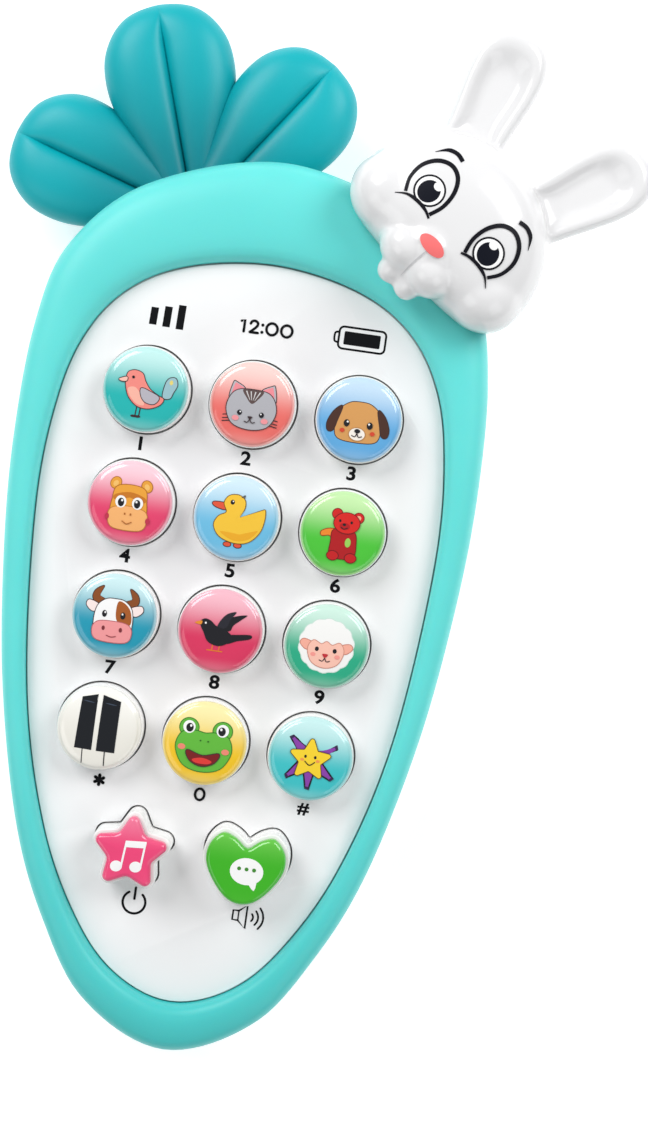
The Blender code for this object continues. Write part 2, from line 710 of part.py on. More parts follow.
def make_screw(name, at, low, high, size=(SCREW_RADIUS, SCREW_HEAD, SCREW_HEAD_DEPTH), down=True):
    """A pan-head screw: its head at the back (down) or on top; size is its shank, head and head's depth."""
    radius, head, head_depth = size
    if down:
        neck = low + head_depth
        profile = [(0, high), (radius, high - SCREW_TIP), (radius, neck), (head, neck), (head, low), (0, low)]
    else:
        neck = high - head_depth
        profile = [(0, high), (head, high), (head, neck), (radius, neck), (radius, low + SCREW_TIP), (0, low)]
    screw = turned(name, profile, at, 12)
    paint(screw, 0xB9BCC0, 0.3, 1.0)


def make_screws():
    for i, at in enumerate(HOUSING_SCREWS, 1):
        make_screw(f"housing_screw_{i}", at, GAP, POST_MEET + SCREW_BITE)
    make_screw("head_screw", HEAD_POST_AT, GAP, TONGUE_TOP - 1)
    low = HEAD_SINK_TOP - GAP - SCREW_HEAD_DEPTH
    make_screw("head_shell_screw", HEAD_BOSS_AT, low, HEAD_SPLIT + HEAD_BITE)
    size = (SCREW_RADIUS, SCREW_HEAD, DOOR_SINK - GAP)
    make_screw("battery_door_screw", (0, DOOR_SCREW_Y), DOOR_LOW, POST_MEET - BAY_WALL - LOOSE, size)
    low, high = BOARD_LOW - BOARD_SCREW_BITE, BOARD_TOP + GAP + BOARD_SCREW_HEAD_DEPTH
    size = (BOARD_SHANK, BOARD_SCREW_HEAD, BOARD_SCREW_HEAD_DEPTH)
    for i, at in enumerate(BOARD_SCREWS, 1):
        make_screw(f"board_screw_{i}", at, low, high, size, down=False)


def make_round_keys():
    """Twelve keys: a flanged plunger, and a domed lens on it."""
    top = PANEL_TOP + KEY_STAND
    flange = KEY_LOW + KEY_FLANGE_DEPTH
    outer = KEY_RADIUS + KEY_FLANGE
    plunger = [(0, top), (KEY_RADIUS, top), (KEY_RADIUS, flange)]
    plunger += [(outer, flange), (outer, KEY_LOW), (0, KEY_LOW)]
    low = top + GAP
    edge = low + LENS_EDGE
    lens = [(share * LENS_RADIUS, edge + rise * (LENS_RISE - LENS_EDGE)) for share, rise in LENS_DOME]
    lens += [(LENS_RADIUS, low), (0, low)]
    for name, at in ROUND_KEYS.items():
        paint(turned(f"key_cap_{name}", plunger, at), 0xF6F6F6, 0.3)
        paint(turned(f"key_lens_{name}", lens, at), KEY_COLOURS[name], 0.12)


def make_button(name, outline, rim, at, colour):
    """A tall shaped plunger on a round flange, and a lens of the same outline on it."""
    cap = slab(f"{name}_cap", circle(BUTTON_FLANGE, at), KEY_LOW, KEY_LOW + KEY_FLANGE_DEPTH)
    top = PANEL_TOP + BUTTON_STAND
    join(cap, slab(f"{name}_stem", placed(rim, at), KEY_LOW + KEY_FLANGE_DEPTH / 2, top, CUTTERS))
    paint(cap, 0xF6F6F6, 0.3)
    low = top + GAP
    inner = placed(grown(outline, -BUTTON_EDGE), at)
    layers = [
        at_height(placed(outline, at), low),
        at_height(placed(outline, at), low + BUTTON_LENS * 0.6),
        at_height(inner, low + BUTTON_LENS),
    ]
    paint(stack(f"{name}_lens", layers), colour, 0.12)


def make_membrane():
    """The silicone sheet, with a dome under each key."""
    half, low_half = BOARD_HALF - SHEET_MARGIN, BOARD_LOW_HALF - SHEET_MARGIN
    top, taper, low = BOARD_SCREWS[0][1] - BOARD_POST_RADIUS - 1.5, BOARD_TAPER_Y, BOARD_LOW_Y + SHEET_MARGIN
    outline = [(-low_half, low), (low_half, low), (half, taper), (half, top), (-half, top), (-half, taper)]
    sheet = slab("keypad_membrane", outline, SHEET_LOW, SHEET_TOP)
    places = [*ROUND_KEYS.values(), STAR_AT, HEART_AT]
    domes = [rod("dome", DOME_RADIUS, at, SHEET_LOW + SHEET / 2, SHEET_TOP + DOME, 12) for at in places]
    join(sheet, bundle("membrane_domes", domes))
    paint(sheet, 0xD9DCDC, 0.6)


def make_board():
    corners = [
        (-BOARD_LOW_HALF, BOARD_LOW_Y), (BOARD_LOW_HALF, BOARD_LOW_Y), (BOARD_HALF, BOARD_TAPER_Y),
        (BOARD_HALF, BOARD_TOP_Y), (-BOARD_HALF, BOARD_TOP_Y), (-BOARD_HALF, BOARD_TAPER_Y),
    ]
    board = slab("circuit_board", corners, BOARD_LOW, BOARD_TOP)
    low, high = BOARD_LOW - 1, BOARD_TOP + 1
    holes = [rod("board_hole", BOARD_SHANK + GAP, at, low, high, 10) for at in BOARD_SCREWS]
    cut(board, bundle("board_holes", holes))
    paint(board, 0x1F7A3D, 0.5)


def make_speaker():
    """A frame with its magnet above an open cup, and the cone across the cup's mouth."""
    low, high, at = BASE + GAP, BASE + GAP + SPEAKER_DEPTH, (0, SPEAKER_Y)
    inner, neck = SPEAKER_RADIUS - SPEAKER_WALL, high - MAGNET_DEPTH
    frame = [
        (0, high), (MAGNET_RADIUS, high), (MAGNET_RADIUS, neck), (SPEAKER_RADIUS, low + 2),
        (SPEAKER_RADIUS, low), (inner, low), (inner, low + 1.4), (MAGNET_RADIUS - 1, neck - 0.8),
        (0, neck - 0.8),
    ]
    paint(turned("speaker_frame", frame, at), 0x55585C, 0.4, 0.8)
    rim = inner - GAP
    cone = [(0, low + 2.1), (4.0, low + 1.6), (rim, low + 1.0)]
    cone += [(rim, low + 0.4), (4.0, low + 1.0), (0, low + 1.5)]
    paint(turned("speaker_cone", cone, at), 0x2A2A2C, 0.8)


def make_cells():
    """Two cells, nubs towards +Y, pressed on by springs on a plate at the lower end."""
    start = BAY_LOW_Y + 2 * GAP + CONTACT + SPRING + GAP
    for number, side in enumerate((-1, 1), 1):
        x = side * (CELL_DIAMETER + GAP) / 2
        body = CELL_LENGTH - NUB
        profile = [(0, body + NUB), (NUB_RADIUS, body + NUB), (NUB_RADIUS, body), (CELL_DIAMETER / 2, body)]
        profile += [(CELL_DIAMETER / 2, 0), (0, 0)]
        cell = turned(f"battery_cell_{number}", profile, (x, start), 20)
        cell.rotation_euler.x = -math.pi / 2
        cell.location.z = CELL_Z * MM
        paint(cell, 0x3B6FB5, 0.35, 0.4)
        steps = 8
        coil = []
        length = SPRING - 2 * SPRING_WIRE
        for i in range(SPRING_TURNS * steps + 1):
            turn, along = 2 * math.pi * i / steps, i / (SPRING_TURNS * steps)
            reach = SPRING_RADIUS - along
            y = start - GAP - SPRING_WIRE - (1 - along) * length
            coil.append((x + reach * math.cos(turn), y, CELL_Z + reach * math.sin(turn)))
        spring = tube(f"battery_spring_{number}", coil, SPRING_WIRE)
        paint(spring, 0xC9CBCD, 0.25, 1.0)
    ends = {"spring_plate": BAY_LOW_Y + GAP, "contact_plate": start + CELL_LENGTH + GAP}
    half = BAY_HALF - GAP
    for name, low in ends.items():
        outline = [(-half, low), (half, low), (half, low + CONTACT), (-half, low + CONTACT)]
        plate = slab(name, outline, LEDGE + GAP, BAY_CEILING - GAP)
        paint(plate, 0xC9CBCD, 0.3, 1.0)


def battery_lead_foot():
    return (BAY_HALF - 2.0, BAY_TOP_Y - GAP - 1.2)


def make_leads():
    """Two short leads: speaker to board, and bay to board."""
    x, y = battery_lead_foot()
    path = [(x, y, BAY_CEILING - GAP), (x, y, BAY_ROOF - 0.2)]
    paint(tube("battery_lead", path, LEAD_RADIUS), 0xC23B32, 0.5)
    low, high = BASE + GAP + SPEAKER_DEPTH + GAP, BOARD_LOW - GAP
    run = SPEAKER_Y - SPEAKER_RADIUS - 3.0
    route = [(3.0, SPEAKER_Y - 3.0, low + 0.6), (3.4, SPEAKER_Y - 8.0, low + 1.0)]
    route += [(3.8, run, (low + high) / 2), (4.0, run - 1.2, high - 1.6), (4.0, run - 1.4, high)]
    paint(tube("speaker_lead", route, LEAD_RADIUS), 0x303236, 0.5)


def make_leaves():
    """Three overlapping leaves of one soft moulding, with the tongue that the housing holds."""
    made = []
    for name, turn, length, half_width, lift in LEAVES:
        half = [(share * half_width, along * length) for along, share in LEAF_SHAPE]
        outline = placed(smooth(mirrored(half), 4), LEAF_ROOT_AT, turn)
        low = LEAF_LOW + lift
        home = CUTTERS if made else PARTS
        title = f"leaf_{name}" if made else "leaf_teether"
        made.append(puffed(title, outline, low, low + LEAF_DEPTH, LEAF_ROUND, home))
    leaves = made[0]
    for other in made[1:]:
        join(leaves, other)
    cut(leaves, slab("leaf_seat", grown(BODY, GAP), -1, RING_CREST + 1, CUTTERS))
    join(leaves, slab("leaf_tongue", leaf_tongue(), TONGUE_LOW, TONGUE_TOP, CUTTERS))
    holes = [rod("peg_hole", PEG_RADIUS + GAP, at, TONGUE_LOW - 1, TONGUE_TOP + 1, 12) for at in LEAF_PEGS]
    cut(leaves, bundle("peg_holes", holes))
    paint(leaves, 0x00A9B5, 0.5)


def head_outline(scale=1.0, inset=0.0):
    outline = smooth(mirrored([(x * HEAD_WIDTH / 2, (y - 0.5) * HEAD_HEIGHT) for x, y in HEAD_SHAPE]), 3)
    return placed(grown(outline, -inset), HEAD_AT, HEAD_TURN, scale)


def head_stack(name, low, high, inset=0.0, front=True, home=CUTTERS):
    """The head's dome (front) or its tapering back, between two heights."""
    layers = []
    for share, scale in HEAD_DOME if front else HEAD_BACK:
        layers.append(at_height(head_outline(scale, inset), low + share * (high - low)))
    return stack(name, layers, home)


def ear_outline(side, inset=0.0):
    half_width, length = EAR_HALF - inset, EAR_LENGTH + EAR_SINK - inset
    half = [(share * half_width, along * length - EAR_SINK) for along, share in EAR_SHAPE]
    outline = half + [(0, EAR_LENGTH - inset)] + [(-x, y) for x, y in reversed(half)]
    outline = placed(smooth(outline, 3), (side * EAR_SPACE / 2, EAR_BASE), -side * EAR_SPREAD)
    return placed(outline, HEAD_AT, HEAD_TURN)


def make_head_front():
    """The face's shell: a dome with the fronts of both ears, open at the back."""
    top = HEAD_SPLIT + HEAD_FRONT
    front = head_stack("head_front_shell", HEAD_SPLIT, top, home=PARTS)
    ears = []
    for side in (-1, 1):
        outline = ear_outline(side)
        middle = ear_outline(side, EAR_DEPTH / 2)
        layers = [at_height(outline, HEAD_SPLIT), at_height(outline, HEAD_SPLIT + EAR_DEPTH / 2)]
        layers.append(at_height(middle, HEAD_SPLIT + EAR_DEPTH))
        ears.append(stack("ear_front", layers, CUTTERS))
    join(front, bundle("ear_fronts", ears))
    bowls = []
    for side in (-1, 1):
        outline = ear_outline(side, EAR_RIM + EAR_DEPTH / 2)
        low, high = HEAD_SPLIT + EAR_DEPTH - EAR_BOWL, HEAD_SPLIT + EAR_DEPTH + 0.5
        bowls.append(slab("ear_bowl", outline, low, high, CUTTERS))
    cut(front, bundle("ear_bowls", bowls))
    hollow = head_stack("face_hollow", HEAD_SPLIT - 1, top - HEAD_WALL, HEAD_WALL)
    cut(front, hollow)
    join(front, rod("face_boss", POST_RADIUS, HEAD_BOSS_AT, HEAD_SPLIT, top - HEAD_WALL))
    deep = HEAD_SPLIT + HEAD_BITE + 1
    cut(front, rod("face_pilot", SCREW_RADIUS + GAP, HEAD_BOSS_AT, HEAD_SPLIT - 2, deep, 12))
    paint(front, 0xFAFAFA, 0.15)


def make_head_back():
    """The head's back: a cup outside the handset, the backs of the ears and the tongue that holds it."""
    split = HEAD_SPLIT - GAP
    back = head_stack("head_back_shell", HEAD_BACK_Z, split, front=False, home=PARTS)
    ears = []
    for side in (-1, 1):
        outline = ear_outline(side)
        middle = ear_outline(side, EAR_DEPTH / 2)
        layers = [at_height(middle, split - EAR_DEPTH), at_height(outline, split - EAR_DEPTH / 2)]
        layers.append(at_height(outline, split))
        ears.append(stack("ear_back", layers, CUTTERS))
    join(back, bundle("ear_backs", ears))
    cut(back, slab("handset_side", grown(BODY, GAP), -1, split + 1, CUTTERS))
    hollow = head_stack("back_hollow", HEAD_BACK_Z + HEAD_WALL, split + 1, HEAD_WALL, front=False)
    cut(hollow, slab("handset_wall", grown(BODY, GAP + HEAD_WALL), -1, split + 2, CUTTERS))
    cut(back, hollow)
    join(back, rod("back_boss", HEAD_BOSS_RADIUS, HEAD_BOSS_AT, HEAD_BACK_Z + HEAD_WALL / 2, split - GAP))
    join(back, slab("head_tongue", head_tongue(), TONGUE_LOW, TONGUE_TOP, CUTTERS))
    holes = [rod("tongue_pilot", SCREW_RADIUS + GAP, HEAD_POST_AT, TONGUE_LOW - 1, TONGUE_TOP + 1, 12)]
    holes.append(rod("head_shank", SCREW_RADIUS + GAP, HEAD_BOSS_AT, HEAD_SINK_TOP - 1, split + 1, 12))
    cut(back, bundle("head_holes", holes))
    cut(back, rod("head_sink", SCREW_HEAD + GAP, HEAD_BOSS_AT, HEAD_BACK_Z - 1, HEAD_SINK_TOP))
    paint(back, 0xFAFAFA, 0.2)


def build():
    for obj in list(bpy.data.objects):
        bpy.data.objects.remove(obj)
    for collection in (PARTS, CUTTERS):
        bpy.context.scene.collection.children.link(collection)
    make_rear_shell()
    make_front_panel()
    make_ring()
    make_door()
    make_screws()
    make_round_keys()
    make_button("star_button", star(), star(BUTTON_RIM), STAR_AT, 0xF2517A)
    make_button("heart_button", heart(), heart(BUTTON_RIM), HEART_AT, 0x3FBF1F)
    make_membrane()
    make_board()
    make_speaker()
    make_cells()
    make_leads()
    make_leaves()
    make_head_front()
    make_head_back()


build()
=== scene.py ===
"""Looks of a toy phone shaped like a carrot, with chewable leaves and a rabbit's head.

The phone lies on its back. Each sub-assembly is a class that reads where it sits from the CAD
model, builds its meshes in metres and dresses them. Sizes in the classes are millimetres.
"""

from __future__ import annotations

import json
import logging
import math
from collections.abc import Callable, Iterator, Sequence
from contextlib import contextmanager
from dataclasses import dataclass, field
from enum import Enum

import bpy
from mathutils import Matrix, Vector
from mathutils.bvhtree import BVHTree

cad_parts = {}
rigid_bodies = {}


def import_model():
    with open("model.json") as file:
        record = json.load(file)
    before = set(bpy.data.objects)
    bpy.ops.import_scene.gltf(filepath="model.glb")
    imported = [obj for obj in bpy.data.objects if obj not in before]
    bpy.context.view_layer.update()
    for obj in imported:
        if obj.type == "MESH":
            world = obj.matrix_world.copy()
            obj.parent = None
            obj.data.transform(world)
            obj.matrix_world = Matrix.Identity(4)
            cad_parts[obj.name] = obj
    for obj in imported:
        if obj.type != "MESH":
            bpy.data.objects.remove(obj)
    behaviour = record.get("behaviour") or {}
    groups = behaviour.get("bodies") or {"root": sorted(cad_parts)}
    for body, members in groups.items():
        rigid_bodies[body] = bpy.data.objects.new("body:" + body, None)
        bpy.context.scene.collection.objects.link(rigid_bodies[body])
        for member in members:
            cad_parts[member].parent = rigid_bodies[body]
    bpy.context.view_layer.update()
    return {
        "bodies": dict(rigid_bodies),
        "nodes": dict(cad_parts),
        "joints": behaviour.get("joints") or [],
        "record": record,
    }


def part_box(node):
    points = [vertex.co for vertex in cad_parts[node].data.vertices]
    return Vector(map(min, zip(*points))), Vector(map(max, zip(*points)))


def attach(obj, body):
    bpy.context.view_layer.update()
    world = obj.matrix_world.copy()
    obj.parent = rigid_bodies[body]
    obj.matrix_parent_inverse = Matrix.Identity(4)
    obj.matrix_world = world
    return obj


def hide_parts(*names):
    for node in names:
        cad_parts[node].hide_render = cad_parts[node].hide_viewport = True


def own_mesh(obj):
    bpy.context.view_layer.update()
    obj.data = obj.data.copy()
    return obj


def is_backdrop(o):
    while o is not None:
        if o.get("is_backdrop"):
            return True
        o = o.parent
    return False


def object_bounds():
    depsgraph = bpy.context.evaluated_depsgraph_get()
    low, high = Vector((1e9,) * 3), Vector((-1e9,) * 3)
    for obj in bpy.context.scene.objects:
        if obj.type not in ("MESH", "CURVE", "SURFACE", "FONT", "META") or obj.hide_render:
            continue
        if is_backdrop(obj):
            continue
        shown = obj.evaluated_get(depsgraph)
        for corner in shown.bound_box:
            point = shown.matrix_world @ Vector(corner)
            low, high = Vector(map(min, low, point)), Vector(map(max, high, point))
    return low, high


LOG = logging.getLogger("toy_phone")
MM = 0.001

Point = tuple[float, float]
Loop = list[Vector]
Table = tuple[Point, ...]


# ---------------------------------------------------------------- outlines


def curve_through(points: Sequence[Sequence[float]], steps: int = 10, closed: bool = True) -> list[Point]:
    """A Catmull-Rom curve through flat points.

    Args:
        points: The points that the curve passes.
        steps: How many pieces each span gets.
        closed: Whether the last point joins the first.

    Returns:
        The points of the finer curve.
    """
    knots = [Vector((point[0], point[1])) for point in points]
    count = len(knots)
    finer: list[Point] = []
    for i in range(count if closed else count - 1):
        if closed:
            before, start, end, after = (knots[(i + k) % count] for k in (-1, 0, 1, 2))
        else:
            before, start, end, after = (knots[min(max(i + k, 0), count - 1)] for k in (-1, 0, 1, 2))
        for step in range(steps):
            t = step / steps
            spot = 2 * start + (end - before) * t
            spot += (2 * before - 5 * start + 4 * end - after) * t**2
            spot += (3 * start - before - 3 * end + after) * t**3
            finer.append((spot.x / 2, spot.y / 2))
    if not closed:
        finer.append((knots[-1].x, knots[-1].y))
    return finer


def mirrored(half: Sequence[Point]) -> list[Point]:
    """A closed outline from its right half, listed from one end of the axis to the other."""
    return list(half) + [(-x, y) for x, y in reversed(half) if x > 0]


def sided(points: Sequence[Point], side: int, middle: float = 0.0) -> list[Point]:
    """A right half's points, left there for side 1 or mirrored to the left for side -1."""
    return [(middle + side * x, y) for x, y in points]


def at_bearings(outline: Sequence[Point], count: int) -> list[Vector]:
    """Where evenly turned rays from the origin meet an outline.

    Args:
        outline: A closed outline round the origin, counter-clockwise.
        count: How many rays there are, the first one straight down.

    Returns:
        One point on each ray.
    """
    turned = sorted((math.atan2(y, x) % math.tau, math.hypot(x, y)) for x, y in outline)
    turned = [(turned[-1][0] - math.tau, turned[-1][1]), *turned, (turned[0][0] + math.tau, turned[0][1])]
    spots: list[Vector] = []
    for i in range(count):
        bearing = -math.pi / 2 + math.tau * i / count
        k = 1
        while turned[k][0] < bearing % math.tau:
            k += 1
        (start, near), (end, far) = turned[k - 1], turned[k]
        share = (bearing % math.tau - start) / max(end - start, 1e-9)
        reach = near + (far - near) * share
        spots.append(Vector((reach * math.cos(bearing), reach * math.sin(bearing))))
    return spots


def grown(outline: Sequence[Sequence[float]], distance: float) -> list[Point]:
    """A counter-clockwise outline moved outwards, square to itself.

    Args:
        outline: Its points.
        distance: How far; a negative distance moves it inwards.

    Returns:
        The moved outline.
    """
    count = len(outline)
    moved: list[Point] = []
    for i, (x, y) in enumerate(outline):
        before, after = Vector(outline[i - 1]), Vector(outline[(i + 1) % count])
        along = (after - before).normalized()
        moved.append((x + along.y * distance, y - along.x * distance))
    return moved


def rounded(corners: Sequence[Point], radii: Sequence[float], steps: int = 8) -> list[Point]:
    """A polygon with arcs for corners.

    Args:
        corners: The polygon's corners, counter-clockwise.
        radii: The arcs' radii, used in turn.
        steps: How many pieces each arc gets.

    Returns:
        The rounded outline.
    """
    path: list[Point] = []
    for i, spot in enumerate(corners):
        corner = Vector(spot)
        back = (Vector(corners[i - 1]) - corner).normalized()
        ahead = (Vector(corners[(i + 1) % len(corners)]) - corner).normalized()
        half = back.angle(ahead) / 2
        radius = radii[i % len(radii)]
        middle = corner + (back + ahead).normalized() * radius / math.sin(half)
        start = corner + back * radius / math.tan(half) - middle
        end = corner + ahead * radius / math.tan(half) - middle
        sweep = start.angle_signed(end)
        for step in range(steps + 1):
            turn = Matrix.Rotation(-sweep * step / steps, 2)
            path.append(tuple(middle + turn @ start))
    return path


def ellipse(at: Point, across: float, up: float, turn: float = 0.0, steps: int = 28) -> list[Point]:
    """An ellipse's outline, its half sizes along its own axes and its turn in degrees.

    Args:
        at: Its middle.
        across: Half its size along its first axis.
        up: Half its size along its second axis.
        turn: How far it is turned, in degrees, counter-clockwise.
        steps: How many points it gets.

    Returns:
        The outline.
    """
    spin = Matrix.Rotation(math.radians(turn), 2)
    outline: list[Point] = []
    for i in range(steps):
        bearing = math.tau * i / steps
        reach = Vector((across * math.cos(bearing), up * math.sin(bearing)))
        outline.append(tuple(Vector(at) + spin @ reach))
    return outline


def placed(outline: Sequence[Point], at: Sequence[float], turn: float = 0.0) -> list[Point]:
    """An outline turned counter-clockwise in degrees and moved to a point."""
    spin = Matrix.Rotation(math.radians(turn), 2)
    return [tuple(Vector((at[0], at[1])) + spin @ Vector(point)) for point in outline]


def smoothstep(low: float, high: float, value: float) -> float:
    """Rises smoothly from 0 at low to 1 at high."""
    share = min(max((value - low) / (high - low), 0.0), 1.0)
    return share * share * (3 - 2 * share)


# ---------------------------------------------------------------- hand tools


@contextmanager
def editing(obj: bpy.types.Object, mode: str = "VERT") -> Iterator[bpy.types.Object]:
    """Edit mode on one object alone, with everything in it selected.

    Args:
        obj: The object.
        mode: What can be picked: VERT, EDGE or FACE.

    Yields:
        The object, in edit mode.
    """
    bpy.ops.object.select_all(action="DESELECT")
    bpy.context.view_layer.objects.active = obj
    obj.select_set(True)
    bpy.ops.object.mode_set(mode="EDIT")
    bpy.ops.mesh.select_mode(type=mode)
    bpy.ops.mesh.select_all(action="SELECT")
    yield obj
    bpy.ops.object.mode_set(mode="OBJECT")


def fresh(name: str) -> bpy.types.Object:
    """The object that an operator has just added, named.

    Args:
        name: Its new name.

    Returns:
        The object.
    """
    obj = bpy.context.object
    obj.name = obj.data.name = name
    return obj


def settle(obj: bpy.types.Object) -> bpy.types.Object:
    """Puts the object's place into its mesh, so that the object sits at the origin.

    Args:
        obj: The object.

    Returns:
        The same object.
    """
    bpy.ops.object.select_all(action="DESELECT")
    bpy.context.view_layer.objects.active = obj
    obj.select_set(True)
    bpy.ops.object.transform_apply(location=True, rotation=True, scale=True)
    return obj


def modify(obj: bpy.types.Object, kind: str, **settings: object) -> None:
    """Adds a modifier with its settings and applies it.

    Args:
        obj: The object that it shapes.
        kind: The modifier's type.
        **settings: Its own properties.
    """
    bpy.ops.object.select_all(action="DESELECT")
    bpy.context.view_layer.objects.active = obj
    obj.select_set(True)
    step = obj.modifiers.new(kind.lower(), kind)
    for key, value in settings.items():
        setattr(step, key, value)
    bpy.ops.object.modifier_apply(modifier=step.name)


def tidy(obj: bpy.types.Object) -> None:
    """Merges what meets and turns every face outwards.

    Args:
        obj: The object to clean.
    """
    with editing(obj):
        bpy.ops.mesh.remove_doubles(threshold=1e-6)
        bpy.ops.mesh.normals_make_consistent(inside=False)


def shade(obj: bpy.types.Object, degrees: float = 32.0) -> None:
    """Smooth shading that keeps edges sharper than this angle.

    Args:
        obj: The object to shade.
        degrees: The angle past which an edge stays sharp.
    """
    bpy.ops.object.select_all(action="DESELECT")
    bpy.context.view_layer.objects.active = obj
    obj.select_set(True)
    bpy.ops.object.shade_smooth_by_angle(angle=math.radians(degrees))


def merged(name: str, pieces: Sequence[bpy.types.Object]) -> bpy.types.Object:
    """Several objects made one.

    Args:
        name: What the whole is called.
        pieces: The objects.

    Returns:
        The joined object.
    """
    bpy.ops.object.select_all(action="DESELECT")
    for piece in pieces:
        piece.select_set(True)
    bpy.context.view_layer.objects.active = pieces[0]
    if len(pieces) > 1:
        bpy.ops.object.join()
    return fresh(name)


def loft(name: str, loops: Sequence[Loop], closed: bool = False) -> bpy.types.Object:
    """Wraps a grid round a run of closed loops, all with as many points, given in millimetres.

    Args:
        name: What the piece is called.
        loops: The loops in order. One that is a single point closes an end.
        closed: Whether the last loop joins the first.

    Returns:
        The closed surface, its faces outwards.
    """
    around, along = len(loops[0]), len(loops) - (0 if closed else 1)
    bpy.ops.mesh.primitive_grid_add(x_subdivisions=around, y_subdivisions=along, size=2)
    obj = fresh(name)
    for vertex in obj.data.vertices:
        i = round((vertex.co.x + 1) / 2 * around) % around
        j = round((vertex.co.y + 1) / 2 * along) % len(loops)
        vertex.co = loops[j][i] * MM
    tidy(obj)
    return obj


def prism(name: str, outline: Sequence[Sequence[float]], low: float, high: float) -> bpy.types.Object:
    """A flat outline drawn on a circle's points and extruded from one height to another.

    Args:
        name: What the piece is called.
        outline: Its points in millimetres, one for each of the circle's.
        low: The height of its underside.
        high: The height of its top.

    Returns:
        The closed piece.
    """
    bpy.ops.mesh.primitive_circle_add(vertices=len(outline), radius=1, fill_type="NGON")
    obj = fresh(name)
    for vertex, (x, y) in zip(obj.data.vertices, outline):
        vertex.co = (x * MM, y * MM, low * MM)
    with editing(obj, "FACE"):
        bpy.ops.mesh.extrude_region_move(TRANSFORM_OT_translate={"value": (0, 0, (high - low) * MM)})
        bpy.ops.mesh.select_all(action="SELECT")
        bpy.ops.mesh.normals_make_consistent(inside=False)
    return obj


def lathe(name: str, profile: Sequence[Point], at: Sequence[float], sides: int = 96) -> bpy.types.Object:
    """A round piece drawn up from a disc, one extrude and one resize for each step of its profile.

    Args:
        name: What the piece is called.
        profile: Its (radius, height) steps from the bottom up, in millimetres.
        at: Its axis, seen from above.
        sides: How many sides it has.

    Returns:
        The piece, closed at both ends.
    """
    (radius, height), *rest = profile
    place = Vector((at[0] * MM, at[1] * MM, height * MM))
    bpy.ops.mesh.primitive_circle_add(vertices=sides, radius=radius * MM, fill_type="NGON", location=place)
    obj = settle(fresh(name))
    with editing(obj, "FACE"):
        for wider, higher in rest:
            place.z = higher * MM
            bpy.ops.mesh.extrude_region_move(TRANSFORM_OT_translate={"value": (0, 0, (higher - height) * MM)})
            ratio = wider / radius
            bpy.ops.transform.resize(value=(ratio, ratio, 1), center_override=place)
            radius, height = wider, higher
        bpy.ops.mesh.select_all(action="SELECT")
        bpy.ops.mesh.normals_make_consistent(inside=False)
    return obj


def carve(obj: bpy.types.Object, cutter: bpy.types.Object, operation: str = "DIFFERENCE") -> None:
    """Cuts, joins or keeps what is common, then removes the cutter."""
    modify(obj, "BOOLEAN", object=cutter, operation=operation, solver="EXACT")
    bpy.data.objects.remove(cutter)


# ---------------------------------------------------------------- finishes


def linear(colour: int) -> tuple[float, float, float, float]:
    """An sRGB hex colour as linear light.

    Args:
        colour: The colour, as 0xRRGGBB.

    Returns:
        Red, green, blue and a full alpha.
    """
    channels = [(colour >> shift & 255) / 255 for shift in (16, 8, 0)]
    bright = [c / 12.92 if c <= 0.04045 else ((c + 0.055) / 1.055) ** 2.4 for c in channels]
    return (bright[0], bright[1], bright[2], 1.0)


def mixed(first: int, second: int, share: float) -> tuple[float, float, float, float]:
    """A blend of two sRGB colours, as linear light."""
    return tuple(a + (b - a) * share for a, b in zip(linear(first), linear(second)))


def add_node(
    tree: bpy.types.NodeTree, kind: str, inputs: dict | None = None, **settings: object
) -> bpy.types.Node:
    """Adds a node with its settings and links.

    Args:
        tree: The material's nodes.
        kind: The node's type.
        inputs: Each socket's name or number, with the value or the output that it takes.
        **settings: The node's own properties.

    Returns:
        The new node.
    """
    node = tree.nodes.new(kind)
    for key, value in settings.items():
        setattr(node, key, value)
    for key, value in (inputs or {}).items():
        if isinstance(value, bpy.types.NodeSocket):
            tree.links.new(value, node.inputs[key])
        else:
            node.inputs[key].default_value = value
    return node


def blank(name: str) -> tuple[bpy.types.Material, bpy.types.NodeTree]:
    """A new material with nothing in its tree.

    Args:
        name: What it is called.

    Returns:
        The material and its tree.
    """
    material = bpy.data.materials.new(name)
    material.use_nodes = True
    material.node_tree.nodes.clear()
    return material, material.node_tree


class Grain(Enum):
    """How a mould's surface was made."""

    POLISHED = "polished"
    SATIN = "satin"
    SPARK = "spark"


# The texture's size and depth for each way, both in millimetres: a polished mould leaves a faint
# ripple, a blasted one a fine satin, and a spark-eroded one a grain that the thumb feels.
GRAINS = {Grain.POLISHED: (2.4, 0.004), Grain.SATIN: (0.35, 0.006), Grain.SPARK: (0.5, 0.02)}


